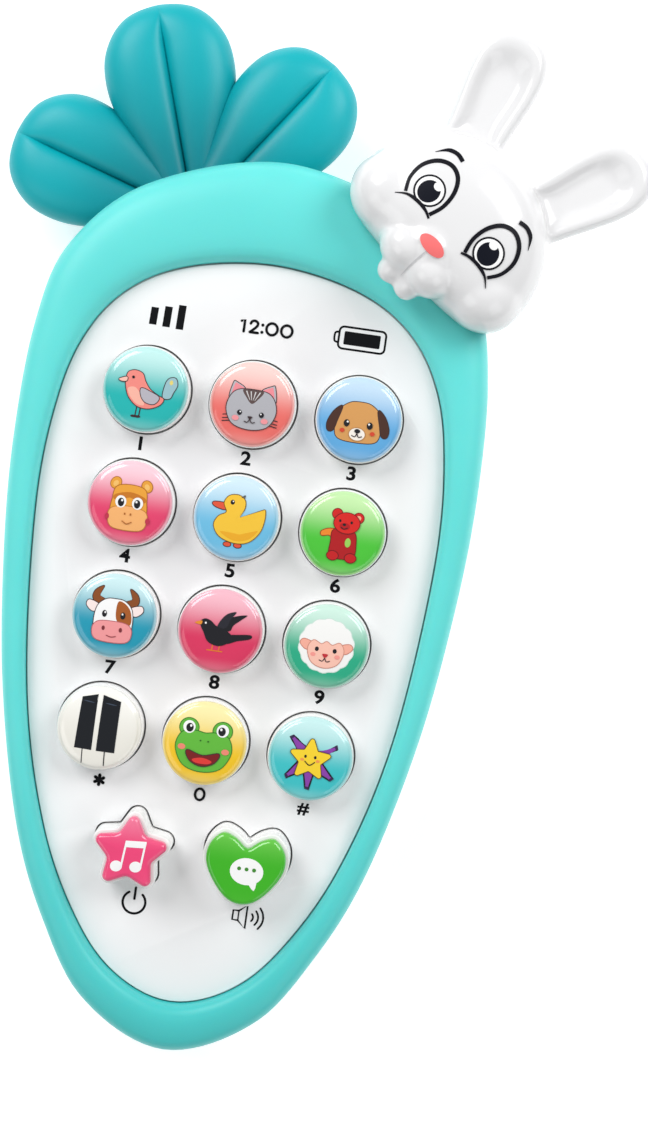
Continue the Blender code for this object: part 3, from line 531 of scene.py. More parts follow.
@dataclass(frozen=True)
class Moulding:
    """A moulded plastic or rubber: body colour, a second tone that drifts through it, and its skin."""

    name: str
    colour: int
    tone: int
    roughness: float
    grain: Grain
    coat: float = 0.0
    glow: float = 0.0
    ior: float = 1.5
    drift: float = 16.0

    def pigment(self, tree: bpy.types.NodeTree, place: bpy.types.NodeSocket) -> bpy.types.NodeSocket:
        """The body colour, one tone drifting into the other.

        Args:
            tree: The material's nodes.
            place: The Object coordinates.

        Returns:
            The colour.
        """
        size = self.drift * MM
        cloud = add_node(tree, "ShaderNodeTexNoise", {"Vector": place, "Scale": 1 / size, "Detail": 2.0})
        blend = add_node(
            tree,
            "ShaderNodeMix",
            {0: cloud.outputs["Fac"], 6: linear(self.colour), 7: linear(self.tone)},
            data_type="RGBA",
        )
        return blend.outputs[2]

    def material(self) -> bpy.types.Material:
        """Builds the finish.

        Returns:
            The material, its patterns on Object coordinates.
        """
        material, tree = blank(self.name)
        size, depth = GRAINS[self.grain]
        place = add_node(tree, "ShaderNodeTexCoord").outputs["Object"]
        scale = 1 / (size * MM)
        skin = add_node(tree, "ShaderNodeTexNoise", {"Vector": place, "Scale": scale, "Detail": 3.0})
        rough = add_node(
            tree,
            "ShaderNodeMapRange",
            {"Value": skin.outputs["Fac"], "To Min": self.roughness * 0.88, "To Max": self.roughness * 1.12},
        )
        bump = add_node(
            tree,
            "ShaderNodeBump",
            {"Height": skin.outputs["Fac"], "Distance": depth * MM, "Strength": 1.0},
        )
        shader = add_node(
            tree,
            "ShaderNodeBsdfPrincipled",
            {
                "Base Color": self.pigment(tree, place),
                "Roughness": rough.outputs["Result"],
                "Normal": bump.outputs["Normal"],
                "IOR": self.ior,
                "Coat Weight": self.coat,
                "Coat Roughness": 0.05,
                "Subsurface Weight": self.glow,
                "Subsurface Scale": 2.0 * MM,
            },
        )
        add_node(tree, "ShaderNodeOutputMaterial", {"Surface": shader.outputs["BSDF"]})
        return material


@dataclass(frozen=True)
class PaintedShadeMoulding(Moulding):
    """A moulding with painted shade that deepens its colour towards one point: the leaves' root by the
    handset, and the carrot's tip on the ring.
    """

    # Where the painted shade centres, its deep tone, and the distances in millimetres where it starts and
    # stops fading.
    root: Point = (0.0, 0.0)
    deep: int = 0x000000
    near: float = 8.0
    far: float = 34.0

    def pigment(self, tree: bpy.types.NodeTree, place: bpy.types.NodeSocket) -> bpy.types.NodeSocket:
        """The body colour, darkened near the root by painted shade.

        Args:
            tree: The material's nodes.
            place: The Object coordinates.

        Returns:
            The colour.
        """
        spot = (self.root[0] * MM, self.root[1] * MM, 0.0)
        reach = add_node(tree, "ShaderNodeVectorMath", {0: place, 1: spot}, operation="DISTANCE")
        share = add_node(
            tree,
            "ShaderNodeMapRange",
            {"Value": reach.outputs["Value"], "From Min": self.near * MM, "From Max": self.far * MM},
            interpolation_type="SMOOTHSTEP",
        )
        # Painted shade: the deep tone takes over near the root.
        blend = add_node(
            tree,
            "ShaderNodeMix",
            {0: share.outputs["Result"], 6: linear(self.deep), 7: super().pigment(tree, place)},
            data_type="RGBA",
        )
        return blend.outputs[2]


@dataclass(frozen=True)
class PrintAndPaintedLight:
    """A clear acrylic dome over a print: the colour comes from the mesh, print together with painted
    highlights and painted shade, the gloss from the dome.
    """

    name: str
    roughness: float = 0.12
    coat: float = 0.6
    ior: float = 1.49

    def material(self) -> bpy.types.Material:
        """Builds the finish, its colour from the mesh's Tint attribute.

        Returns:
            The material.
        """
        material, tree = blank(self.name)
        tint = add_node(tree, "ShaderNodeAttribute", attribute_name="Tint")
        place = add_node(tree, "ShaderNodeTexCoord").outputs["Object"]
        # A moulded dome's skin ripples over about 3 mm, which softens the lamps in it a little.
        scale = 1 / (3.0 * MM)
        ripple = add_node(tree, "ShaderNodeTexNoise", {"Vector": place, "Scale": scale, "Detail": 1.0})
        bump = add_node(
            tree,
            "ShaderNodeBump",
            {"Height": ripple.outputs["Fac"], "Distance": 0.02 * MM, "Strength": 1.0},
        )
        shader = add_node(
            tree,
            "ShaderNodeBsdfPrincipled",
            {
                "Base Color": tint.outputs["Color"],
                "Roughness": self.roughness,
                "Normal": bump.outputs["Normal"],
                "IOR": self.ior,
                "Coat Weight": self.coat,
                "Coat Roughness": 0.03,
            },
        )
        add_node(tree, "ShaderNodeOutputMaterial", {"Surface": shader.outputs["BSDF"]})
        return material


@dataclass(frozen=True)
class PlatedSteel:
    """Zinc or nickel plate over steel: grey metal with fine drawn lines and slightly dull patches."""

    name: str
    colour: int
    roughness: float
    line: float = 0.25

    def material(self) -> bpy.types.Material:
        """Builds the finish, its lines across the piece.

        Returns:
            The material.
        """
        material, tree = blank(self.name)
        place = add_node(tree, "ShaderNodeTexCoord").outputs["Object"]
        spread = add_node(tree, "ShaderNodeMapping", {"Vector": place, "Scale": (1.0, 0.12, 1.0)})
        lines = add_node(
            tree,
            "ShaderNodeTexNoise",
            {"Vector": spread.outputs["Vector"], "Scale": 1 / (self.line * MM), "Detail": 3.0},
        )
        rough = add_node(
            tree,
            "ShaderNodeMapRange",
            {"Value": lines.outputs["Fac"], "To Min": self.roughness * 0.7, "To Max": self.roughness * 1.4},
        )
        shader = add_node(
            tree,
            "ShaderNodeBsdfPrincipled",
            {"Base Color": linear(self.colour), "Metallic": 1.0, "Roughness": rough.outputs["Result"]},
        )
        add_node(tree, "ShaderNodeOutputMaterial", {"Surface": shader.outputs["BSDF"]})
        return material


@dataclass(frozen=True)
class CellWrap:
    """A dry cell's printed sleeve: a dark body with a copper band at the plus end, under gloss."""

    name: str
    body: int
    band: int
    edge: float

    def material(self) -> bpy.types.Material:
        """Builds the finish, its band beyond one place along Y.

        Returns:
            The material.
        """
        material, tree = blank(self.name)
        place = add_node(tree, "ShaderNodeTexCoord").outputs["Object"]
        axes = add_node(tree, "ShaderNodeSeparateXYZ", {"Vector": place})
        share = add_node(
            tree,
            "ShaderNodeMapRange",
            {"Value": axes.outputs["Y"], "From Min": self.edge * MM, "From Max": (self.edge + 0.2) * MM},
        )
        print_colour = add_node(
            tree,
            "ShaderNodeMix",
            {0: share.outputs["Result"], 6: linear(self.body), 7: linear(self.band)},
            data_type="RGBA",
        )
        scale = 1 / (1.5 * MM)
        scuffs = add_node(tree, "ShaderNodeTexNoise", {"Vector": place, "Scale": scale, "Detail": 4.0})
        rough = add_node(
            tree,
            "ShaderNodeMapRange",
            {"Value": scuffs.outputs["Fac"], "To Min": 0.22, "To Max": 0.4},
        )
        shader = add_node(
            tree,
            "ShaderNodeBsdfPrincipled",
            {"Base Color": print_colour.outputs[2], "Metallic": 0.35, "Roughness": rough.outputs["Result"]},
        )
        add_node(tree, "ShaderNodeOutputMaterial", {"Surface": shader.outputs["BSDF"]})
        return material


class Finishes:
    """Every finish on the phone, each material made once."""

    # Silicone rubber from a blasted mould: soft, satin, and light scatters a little way into it.
    RING = PaintedShadeMoulding(
        "ring_silicone",
        0x62DCD8,
        0x6BE4DF,
        0.4,
        Grain.SATIN,
        glow=0.12,
        ior=1.41,
        # Painted shade: the deep tone darkens the ring towards the carrot's tip.
        root=(0.0, -92.0),
        deep=0x46C6C5,
        far=105.0,
    )
    # Thermoplastic elastomer, denser in pigment than the ring and a little greasy in its shine.
    LEAF = PaintedShadeMoulding(
        "leaf_elastomer",
        0x00B6C0,
        0x00A9B4,
        0.42,
        Grain.SATIN,
        glow=0.08,
        ior=1.42,
        # Painted shade: the deep tone darkens the leaves near their root, where they meet the handset.
        root=(-15.5, 66.3),
        deep=0x007682,
        near=11.0,
        far=36.0,
    )
    # Injection-moulded ABS from satin steel: even white with a soft sheen.
    FACE = Moulding("face_abs", 0xF2F2F3, 0xF5F5F6, 0.34, Grain.SATIN, drift=40.0)
    # ABS with a spark-eroded grain, which hides scratches on the back.
    REAR = Moulding("rear_abs", 0xEDEDEF, 0xF1F1F2, 0.5, Grain.SPARK, drift=40.0)
    # High-gloss ABS from a polished mould: sharp lights with a faint ripple in them.
    HEAD = Moulding("head_abs", 0xECECED, 0xEFEFF0, 0.2, Grain.POLISHED, coat=0.4, drift=20.0)
    # Gloss ABS for the key plungers.
    KEY = Moulding("key_abs", 0xF4F4F3, 0xF8F8F7, 0.2, Grain.POLISHED, coat=0.4, drift=20.0)
    # Pad-printed ink on ABS: dense black, smoother than the plastic under it.
    INK = Moulding("pad_ink", 0x05060A, 0x090B11, 0.55, Grain.SATIN, ior=1.25)
    # Silicone keypad sheet, natural and unpolished.
    SHEET = Moulding("keypad_silicone", 0xD6D9D9, 0xDFE1E1, 0.6, Grain.SATIN, glow=0.2, ior=1.41)
    # Glass-epoxy board under green solder resist; the second tone is the weave showing through.
    BOARD = Moulding("board_resist", 0x1C6E37, 0x2A8447, 0.38, Grain.SATIN, drift=1.2)
    # Blackened paper pulp cone.
    CONE = Moulding("paper_cone", 0x232325, 0x2E2E30, 0.85, Grain.SPARK, drift=3.0)
    RED_WIRE = Moulding("red_pvc", 0xC0392F, 0xCB463B, 0.42, Grain.SATIN)
    BLACK_WIRE = Moulding("black_pvc", 0x2A2C30, 0x33353A, 0.42, Grain.SATIN)
    # Clear acrylic over a printed film; on the key domes the colour also holds painted highlights.
    DOME = PrintAndPaintedLight("printed_acrylic")
    # Transfer print on the head: inks under a thin lacquer, matter than the plastic round it, and a painted
    # shade line along the muzzle's crease.
    HEAD_PRINT_AND_SHADE = PrintAndPaintedLight("transfer_print", 0.4, 0.0, 1.25)
    SCREW = PlatedSteel("zinc_plate", 0xB9BCC0, 0.3)
    CONTACT = PlatedSteel("nickel_plate", 0xCDCFD1, 0.2)
    # Phosphated speaker basket.
    BASKET = PlatedSteel("basket_steel", 0x5A5D61, 0.42)

    def __init__(self) -> None:
        """Starts with no material made."""
        self.made: dict[str, bpy.types.Material] = {}

    def get(self, finish: Moulding | PrintAndPaintedLight | PlatedSteel | CellWrap) -> bpy.types.Material:
        """The finish's material, made the first time it is asked for.

        Args:
            finish: The finish.

        Returns:
            Its one material.
        """
        if finish.name not in self.made:
            self.made[finish.name] = finish.material()
        return self.made[finish.name]


FINISHES = Finishes()


def dress(
    obj: bpy.types.Object,
    finish: Moulding | PrintAndPaintedLight | PlatedSteel | CellWrap,
    body: str,
    slot: str,
    stands_for: Sequence[str] = (),
) -> bpy.types.Object:
    """Gives a piece its finish, its body and the nodes it stands for.

    Args:
        obj: The finished piece, its place in its mesh.
        finish: What it is made of.
        body: The moving body that it rides on.
        slot: The record's material slot; not used.
        stands_for: The nodes of the CAD model that it takes the place of.

    Returns:
        The same piece.
    """
    obj.data.materials.clear()
    obj.data.materials.append(FINISHES.get(finish))
    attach(obj, body)
    if stands_for:
        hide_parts(*stands_for)
    LOG.info("%s: %d faces, on %s", obj.name, len(obj.data.polygons), body)
    return obj


def tint(obj: bpy.types.Object, colour_at: Callable[[Vector], Sequence[float]]) -> None:
    """Writes the Tint attribute, one linear colour for each corner, from its vertex's place.

    Args:
        obj: The piece to colour.
        colour_at: Gives the linear colour at a place in metres.
    """
    layer = obj.data.color_attributes.new("Tint", "FLOAT_COLOR", "CORNER")
    for corner in obj.data.loops:
        layer.data[corner.index].color = colour_at(obj.data.vertices[corner.vertex_index].co)


# ---------------------------------------------------------------- drawing


@dataclass
class Sticker:
    """Flat shapes in one mesh, each lifted a hair above the one before and laid on a surface.

    A shape is drawn in millimetres in the picture's own frame. The place function turns a point
    of that frame into a point of the surface, and the shape's layer lifts it.
    """

    name: str
    place: Callable[[float, float], Vector]
    lift: float = 0.02
    step: float = 0.012
    points: list[Vector] = field(default_factory=list)
    faces: list[tuple[int, ...]] = field(default_factory=list)
    colours: list[int] = field(default_factory=list)
    layer: int = 0
    zoom: float = 1.0

    def _add(self, flat: Sequence[Point], faces: Sequence[tuple[int, ...]], colour: int) -> None:
        """Lays one shape on the surface.

        Args:
            flat: The shape's points in the picture's frame.
            faces: Its faces, as numbers of its own points.
            colour: Its sRGB colour.
        """
        start = len(self.points)
        height = self.lift + self.step * self.layer
        for x, y in flat:
            spot = self.place(x * self.zoom, y * self.zoom)
            self.points.append(Vector((spot.x, spot.y, spot.z + height)))
        for face in faces:
            self.faces.append(tuple(start + i for i in face))
            self.colours.append(colour)
        self.layer += 1

    def patch(
        self, outline: Sequence[Point], colour: int, edge: int | None = None, line: float = 0.14
    ) -> None:
        """Fills a closed outline with rings towards its middle.

        Args:
            outline: Its points, counter-clockwise.
            colour: The fill.
            edge: The colour of a thin line round it, or none.
            line: That line's width.
        """
        area = sum(x * outline[i - 1][1] - y * outline[i - 1][0] for i, (x, y) in enumerate(outline))
        if area > 0:
            outline = list(reversed(outline))
        if edge is not None:
            self.patch(grown(outline, line), edge)
        count = len(outline)
        middle = Vector((sum(x for x, _ in outline) / count, sum(y for _, y in outline) / count))
        reach = max((Vector(point) - middle).length for point in outline)
        rings = max(2, min(9, math.ceil(reach / 0.7)))
        flat: list[Point] = [tuple(middle)]
        for ring in range(1, rings + 1):
            flat += [tuple(middle.lerp(Vector(point), ring / rings)) for point in outline]
        faces: list[tuple[int, ...]] = [(0, 1 + i, 1 + (i + 1) % count) for i in range(count)]
        for ring in range(1, rings):
            low, high = 1 + (ring - 1) * count, 1 + ring * count
            for i in range(count):
                after = (i + 1) % count
                faces.append((low + i, high + i, high + after, low + after))
        self._add(flat, faces, colour)

    def disc(
        self, at: Point, across: float, up: float, colour: int, turn: float = 0.0, edge: int | None = None
    ) -> None:
        """Fills an ellipse."""
        self.patch(ellipse(at, across, up, turn), colour, edge)

    def blob(self, points: Sequence[Point], colour: int, edge: int | None = None, steps: int = 5) -> None:
        """Fills a smooth closed shape through the points."""
        self.patch(curve_through(points, steps), colour, edge)

    def stroke(
        self,
        points: Sequence[Point],
        width: float,
        colour: int,
        taper: tuple[float, float] = (1.0, 1.0),
        closed: bool = False,
        steps: int = 5,
    ) -> None:
        """Draws a line through the points.

        Args:
            points: Where it goes.
            width: Its width in the middle.
            colour: Its colour.
            taper: The share of the width at each end.
            closed: Whether it joins its own start.
            steps: How many pieces each span gets; 1 keeps it straight between the points.
        """
        path = [Vector(point) for point in curve_through(points, steps, closed)]
        count = len(path)
        if closed:
            path.append(path[0])
        flat: list[Point] = []
        for i, spot in enumerate(path):
            before = path[i - 1] if i else (path[-2] if closed else spot)
            after = path[i + 1] if i + 1 < len(path) else (path[1] if closed else spot)
            along = (after - before).normalized()
            share = i / max(len(path) - 1, 1)
            ends = taper[0] + (1 - taper[0]) * smoothstep(0.0, 0.45, share)
            ends *= taper[1] + (1 - taper[1]) * smoothstep(0.0, 0.45, 1 - share)
            half = width / 2 * ends
            flat.append((spot.x - along.y * half, spot.y + along.x * half))
            flat.append((spot.x + along.y * half, spot.y - along.x * half))
        faces = [(2 * i, 2 * i + 1, 2 * i + 3, 2 * i + 2) for i in range(len(path) - 1)]
        self._add(flat, faces, colour)
        if not closed and taper == (1.0, 1.0):
            for end in (path[0], path[count - 1]):
                self.layer -= 1
                self.patch(ellipse(tuple(end), width / 2, width / 2, steps=12), colour)

    def build(self, thickness: float = 0.02) -> bpy.types.Object:
        """Makes the mesh, a printed skin with its colours in the Tint attribute.

        Args:
            thickness: How thick the skin is, in millimetres.

        Returns:
            The piece.
        """
        mesh = bpy.data.meshes.new(self.name)
        mesh.from_pydata([point * MM for point in self.points], [], self.faces)
        obj = bpy.data.objects.new(self.name, mesh)
        bpy.context.scene.collection.objects.link(obj)
        layer = mesh.color_attributes.new("Tint", "FLOAT_COLOR", "CORNER")
        for face, colour in zip(mesh.polygons, self.colours):
            if face.normal.z < 0:
                face.flip()
            for corner in face.loop_indices:
                layer.data[corner].color = linear(colour)
        modify(obj, "SOLIDIFY", thickness=thickness * MM, offset=-1.0, use_even_offset=False)
        shade(obj, 40.0)
        return obj


# ---------------------------------------------------------------- sub-assemblies


@dataclass
class Handset:
    """The carrot: the soft ring, the white face and the printed signs."""

    rays: int = 288
    side: float = 5.5
    tip: float = 7.8
    top: float = 17.7
    skirt: float = 2.0
    gap: float = 0.3
    # The face plate's thickness, its flange's thickness, and how far below the face the ring's lip reaches.
    plate: float = 2.2
    flange: float = 1.0
    lip: float = 0.9
    hem: float = 0.6
    # The printed signs' ink and how high it lies over the face.
    ink: int = 0x0C0D12
    ink_lift: float = 0.012
    # How far the soft wall swells past the rigid shell's outline, at the sides and at the tip.
    bulge: float = 0.4
    tip_bulge: float = 1.4
    # The body's outline, as (share of its length from the tip, share of its half width).
    body_shape: Table = (
        (0.0, 0.0), (0.044, 0.385), (0.122, 0.595), (0.225, 0.763), (0.379, 0.901), (0.533, 0.975),
        (0.662, 1.0), (0.791, 0.975), (0.881, 0.874), (0.958, 0.57), (1.0, 0.0),
    )
    face_shape: Table = (
        (0.0, 0.0), (0.024, 0.27), (0.086, 0.5), (0.209, 0.74), (0.393, 0.92), (0.640, 1.0),
        (0.794, 0.96), (0.886, 0.851), (0.948, 0.66), (0.985, 0.38), (1.0, 0.0),
    )
    # The ring's upper surface, as (share of its width from the outside, share of its rise).
    crown: Table = (
        (0.003, -0.95), (0.014, -0.52), (0.04, -0.08), (0.085, 0.28), (0.15, 0.57), (0.24, 0.77),
        (0.36, 0.91), (0.49, 0.985), (0.61, 1.0), (0.73, 0.975), (0.83, 0.89), (0.9, 0.74), (0.955, 0.48),
    )

    def __post_init__(self) -> None:
        """Reads the body's size from the CAD model."""
        low, high = (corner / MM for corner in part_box("soft_ring"))
        self.width, self.length, self.tip_y = high.x - low.x, high.y - low.y, low.y
        self.ring_low, self.crest = low.z, high.z
        self.face_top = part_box("front_panel")[1].z / MM
        self.body = self._outline(self.body_shape, self.width, self.length, self.tip_y)
        face_width = self.width - 2 * self.side
        face_length = self.length - self.tip - self.top
        self.face = self._outline(self.face_shape, face_width, face_length, self.tip_y + self.tip)

    def _outline(self, shape: Table, width: float, length: float, low: float) -> list[Vector]:
        """A symmetric outline from its shares, on the rays."""
        half = [(share * width / 2, low + along * length) for along, share in shape]
        return at_bearings(curve_through(mirrored(half), 24), self.rays)

    def build(self) -> None:
        """Makes every visible piece of the handset."""
        self._ring()
        self._face_plate()
        self._signs()

    def _ring(self) -> None:
        """One crowned section lofted round the handset, with its skirt over the wall."""
        rise = self.crest - self.face_top
        under = self.face_top - self.lip
        loops: list[Loop] = []
        for outer, inner in zip(self.body, self.face):
            across = inner - outer
            width = across.length
            across.normalize()
            section = [(self.skirt, self.ring_low), (0.9, self.ring_low), (0.3, self.ring_low + 0.2)]
            side_low, side_high = self.ring_low + 0.5, self.face_top + self.crown[0][1] * rise
            bulge = self.bulge + (self.tip_bulge - self.bulge) * smoothstep(-66.0, -79.0, outer.y)
            for step in range(9):
                swell = bulge * math.sin(math.pi * min(step / 8 * 0.62, 0.5)) ** 1.2
                section.append((-swell, side_low + (side_high - side_low) * step / 8))
            for share, lift in self.crown:
                swell = bulge * (1 - smoothstep(0.0, 0.45, share))
                section.append((share * width - swell, self.face_top + lift * rise))
            inside = width - self.gap
            section += [(inside - 0.1, self.face_top + 0.35), (inside, self.face_top + 0.05)]
            section += [(inside, under), (self.skirt, under)]
            loops.append([Vector((*(outer + across * inward), height)) for inward, height in section])
        ring = loft("soft_ring_skin", loops, closed=True)
        shade(ring, 50.0)
        dress(ring, Finishes.RING, "housing", "ring_silicone", ["soft_ring"])

    def _face_plate(self) -> None:
        """The face with its key holes and softened edges, over the flange that the ring covers."""
        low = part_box("front_panel")[0].z / MM
        plate_low = self.face_top - self.plate
        plate = prism("face_plate", self.face, plate_low, self.face_top)
        holes = [ellipse(key.at(), key.bore(), key.bore(), steps=96) for key in KEYS]
        holes += [placed(button.outline(button.rim + self.gap), button.at()) for button in BUTTONS]
        for outline in holes:
            carve(plate, prism("hole", outline, low, self.face_top + 1))
        sharp = math.radians(50)
        modify(plate, "BEVEL", width=0.12 * MM, segments=3, limit_method="ANGLE", angle_limit=sharp)
        shade(plate, 30.0)
        dress(plate, Finishes.FACE, "housing", "face_white", ["front_panel"])
        outline = grown(self.body, -self.skirt - self.hem)
        flange = prism("face_flange", outline, plate_low, plate_low + self.flange)
        carve(flange, prism("inside", grown(self.face, -self.hem), plate_low - 1, plate_low + 2))
        shade(flange)
        dress(flange, Finishes.FACE, "housing", "face_white")

    def _signs(self) -> None:
        """The printed clock, bars, battery, power and sound signs, and a mark under each key."""
        marks = Sticker("printed_signs", self._on_face, lift=self.ink_lift, step=0.004)
        self._bars(marks)
        self._battery(marks)
        self._power(marks, (-8.6, -54.6))
        self._sound(marks)
        self._clock(marks, (0.55, 48.05))
        for key in KEYS:
            foot = Vector(key.at()) + Vector((0.9 if key.mark == "*" else 0.2, -9.6))
            if key.mark == "0":
                marks.stroke(ellipse(tuple(foot), 0.82, 1.0), 0.44, self.ink, closed=True, steps=1)
            if key.mark == "*":
                for turn in (90, 30, -30):
                    arm = Vector((math.cos(math.radians(turn)), math.sin(math.radians(turn)))) * 0.85
                    marks.stroke([tuple(foot - arm), tuple(foot + arm)], 0.56, self.ink, steps=1)
        dress(marks.build(0.01), Finishes.INK, "housing", "face_white")
        for key in KEYS:
            if key.mark not in "0*":
                self._mark(key)

    def _on_face(self, x: float, y: float) -> Vector:
        """Where a point of a sign lies on the face."""
        return Vector((x, y, self.face_top))

    def _bars(self, marks: Sticker) -> None:
        """Draws three signal bars, each taller than the one before.

        Args:
            marks: The print that they join.
        """
        for i, height in enumerate((3.0, 3.55, 4.2)):
            left = -19.9 + 2.35 * i
            low = 46.0 - 0.12 * i
            top = low + height
            marks.patch([(left, low), (left + 1.3, low), (left + 1.4, top), (left + 0.1, top)], self.ink)

    def _battery(self, marks: Sticker) -> None:
        """Draws a full battery lying on its side.

        Args:
            marks: The print that it joins.
        """
        box = rounded([(13.0, 46.5), (21.1, 46.5), (21.1, 50.3), (13.0, 50.3)], (0.8,), 6)
        marks.stroke(box, 0.36, self.ink, closed=True, steps=1)
        charge = rounded([(13.9, 47.25), (20.2, 47.25), (20.2, 49.55), (13.9, 49.55)], (0.2,), 3)
        marks.patch(charge, self.ink)
        marks.stroke([(12.9, 47.5), (12.3, 47.75), (12.3, 49.05), (12.9, 49.3)], 0.34, self.ink, steps=4)

    def _power(self, marks: Sticker, at: Point) -> None:
        """Draws the power sign under the star: an open ring and an upright bar.

        Args:
            marks: The print that it joins.
            at: The ring's middle.
        """
        x, y = at
        radius, line = 2.0, 0.42
        turns = [math.radians(turn) for turn in range(122, 419, 11)]
        arc = [(x + radius * math.cos(turn), y + radius * math.sin(turn)) for turn in turns]
        marks.stroke(arc, line, self.ink, steps=2)
        marks.stroke([(x, -54.0), (x, -52.0)], line, self.ink, steps=1)

    def _sound(self, marks: Sticker) -> None:
        """Draws the sound sign under the heart: a small loudspeaker and three waves.

        Args:
            marks: The print that it joins.
        """
        cone = [(8.9, -55.1), (9.9, -55.1), (11.3, -56.4), (11.3, -52.2), (9.9, -53.4), (8.9, -53.4)]
        marks.stroke(cone, 0.34, self.ink, closed=True, steps=1)
        marks.stroke([(9.9, -55.1), (9.9, -53.4)], 0.24, self.ink, steps=1)
        bearings = (-0.75, -0.38, 0.0, 0.38, 0.75)
        for reach in (0.9, 1.8, 2.7):
            wave = [(11.6 + reach * math.cos(t), -54.3 + reach * math.sin(t)) for t in bearings]
            marks.stroke(wave, 0.32, self.ink, steps=3)

    def _clock(self, marks: Sticker, at: Point) -> None:
        """Draws the time, 12:00, in even strokes.

        Args:
            marks: The print that it joins.
            at: Its middle.
        """
        line = 0.44
        one = [(-4.55, 0.75), (-4.0, 1.02), (-4.0, -1.02)]
        foot = [(-2.95, -0.98), (-1.55, -0.98)]
        for path in (one, foot):
            marks.stroke(placed(path, at), line, self.ink, steps=1)
        two = [(-2.95, 0.5), (-2.72, 0.92), (-2.2, 1.04), (-1.72, 0.72), (-1.78, 0.2), (-2.25, -0.35)]
        marks.stroke(placed([*two, (-2.9, -0.95)], at), line, self.ink)
        for rise in (0.5, -0.75):
            marks.disc((at[0] - 0.85, at[1] + rise), 0.27, 0.27, self.ink)
        for across in (0.82, 3.4):
            marks.stroke(ellipse((at[0] + across, at[1]), 0.96, 1.02), line, self.ink, closed=True, steps=1)

    def _mark(self, key: RoundKey) -> None:
        """Prints a key's number or sign under it.

        Args:
            key: The key.
        """
        x, y = key.at()
        bpy.ops.object.text_add(location=(x * MM, (y - 9.5) * MM, (self.face_top + self.ink_lift) * MM))
        text = bpy.context.object
        size = (2.9 if key.mark == "#" else 3.25) * MM
        text.data.body = key.mark
        text.data.align_x = text.data.align_y = "CENTER"
        text.data.size = size
        text.data.offset = 0.03 * size
        text.data.resolution_u = 8
        text.scale.x = 1.14
        bpy.ops.object.convert(target="MESH")
        dress(settle(fresh(f"printed_{key.name}")), Finishes.INK, "housing", "face_white")


@dataclass
class RoundKey:
    """One of the twelve keys: a white plunger and a printed dome."""

    name: str
    mark: str
    highlight_pale: int
    deep: int
    draw: Callable[[Sticker], None]
    clearance: float = 0.3
    flange: float = 1.1
    flange_depth: float = 1.2
    # How far the lens stands in from the plunger's edge, how high its edge is, and where its dome
    # starts, as a share of its radius.
    inset: float = 0.22
    edge: float = 1.0
    rim: float = 0.94

    def at(self) -> Point:
        """The key's axis, seen from above."""
        low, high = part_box(f"key_cap_{self.name}")
        return ((low.x + high.x) / 2 / MM, (low.y + high.y) / 2 / MM)

    def radius(self) -> float:
        """The plunger's radius above its flange: half a millimetre more than the lens's."""
        low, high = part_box(f"key_lens_{self.name}")
        return (high.x - low.x) / 2 / MM + 0.5

    def bore(self) -> float:
        """The radius of the hole it slides in."""
        return self.radius() + self.clearance

    def dome(self, reach: float) -> float:
        """The dome's height above its edge at a share of its radius."""
        return math.sqrt(max(0.0, 1 - min(reach, 1.0) ** 2))

    def build(self) -> None:
        """Makes the plunger, the dome and its picture."""
        at, radius = self.at(), self.radius()
        cap_low, cap_high = (corner.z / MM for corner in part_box(f"key_cap_{self.name}"))
        flange, shelf = radius + self.flange, cap_low + self.flange_depth
        steps = [(flange, cap_low), (flange, shelf), (radius, shelf)]
        steps += [(radius, cap_high - 0.4), (radius - 0.05, cap_high - 0.2), (radius - 0.18, cap_high - 0.05)]
        steps += [(radius - 0.4, cap_high), (radius - 3.0, cap_high)]
        cap = lathe(f"plunger_{self.name}", steps, at)
        shade(cap, 35.0)
        body = f"key_{self.name}"
        dress(cap, Finishes.KEY, body, "key_white", [f"key_cap_{self.name}"])
        low, high = (corner.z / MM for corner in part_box(f"key_lens_{self.name}"))
        lens = radius - self.inset
        edge = low + self.edge
        steps = [(lens, low), (lens, edge - 0.15), (lens - 0.06, edge + 0.06), (lens - 0.2, edge + 0.2)]
        dome_low = edge + 0.24
        dome_rise = high - dome_low
        shares = [self.rim * math.cos(math.radians(turn)) for turn in range(0, 90, 6)]
        steps += [(lens * share, dome_low + dome_rise * self.dome(share / self.rim)) for share in shares]
        dome = lathe(f"dome_{self.name}", steps, at)
        shade(dome, 60.0)
        self._colour(dome, at, lens)
        dress(dome, Finishes.DOME, body, f"lens_{self.name}", [f"key_lens_{self.name}"])

        def on_dome(x: float, y: float) -> Vector:
            """Where a point of the picture lies on the dome."""
            share = math.hypot(x, y) / (lens * self.rim)
            return Vector((at[0] + x, at[1] + y, dome_low + dome_rise * self.dome(share)))

        picture = Sticker(f"picture_{self.name}", on_dome)
        self.draw(picture)
        dress(picture.build(), Finishes.DOME, body, f"lens_{self.name}")

    def _colour(self, dome: bpy.types.Object, at: Point, lens: float) -> None:
        """Tints the dome: its print's deep colour, painted paler at the top as a painted highlight, a little
        paler at the bottom as painted reflected light, and lighter at the rim as a painted highlight.

        Args:
            dome: The dome.
            at: Its axis.
            lens: Its radius.
        """

        def colour_at(spot: Vector) -> Sequence[float]:
            """The print's colour under one point, with the painted highlights mixed in.

            Args:
                spot: The point, in metres.

            Returns:
                The linear colour.
            """
            x, y = spot.x / MM - at[0], spot.y / MM - at[1]
            up, reach = y / lens, math.hypot(x, y) / lens
            # Painted highlight towards the top, and painted reflected light along the bottom.
            share = 0.95 * smoothstep(-0.25, 0.85, up) + 0.3 * smoothstep(0.6, 1.0, -up)
            # Painted highlight round the dome's rim.
            share = max(share, 0.6 * smoothstep(0.92, 0.97, reach))
            return mixed(self.deep, self.highlight_pale, min(share, 1.0))

        tint(dome, colour_at)


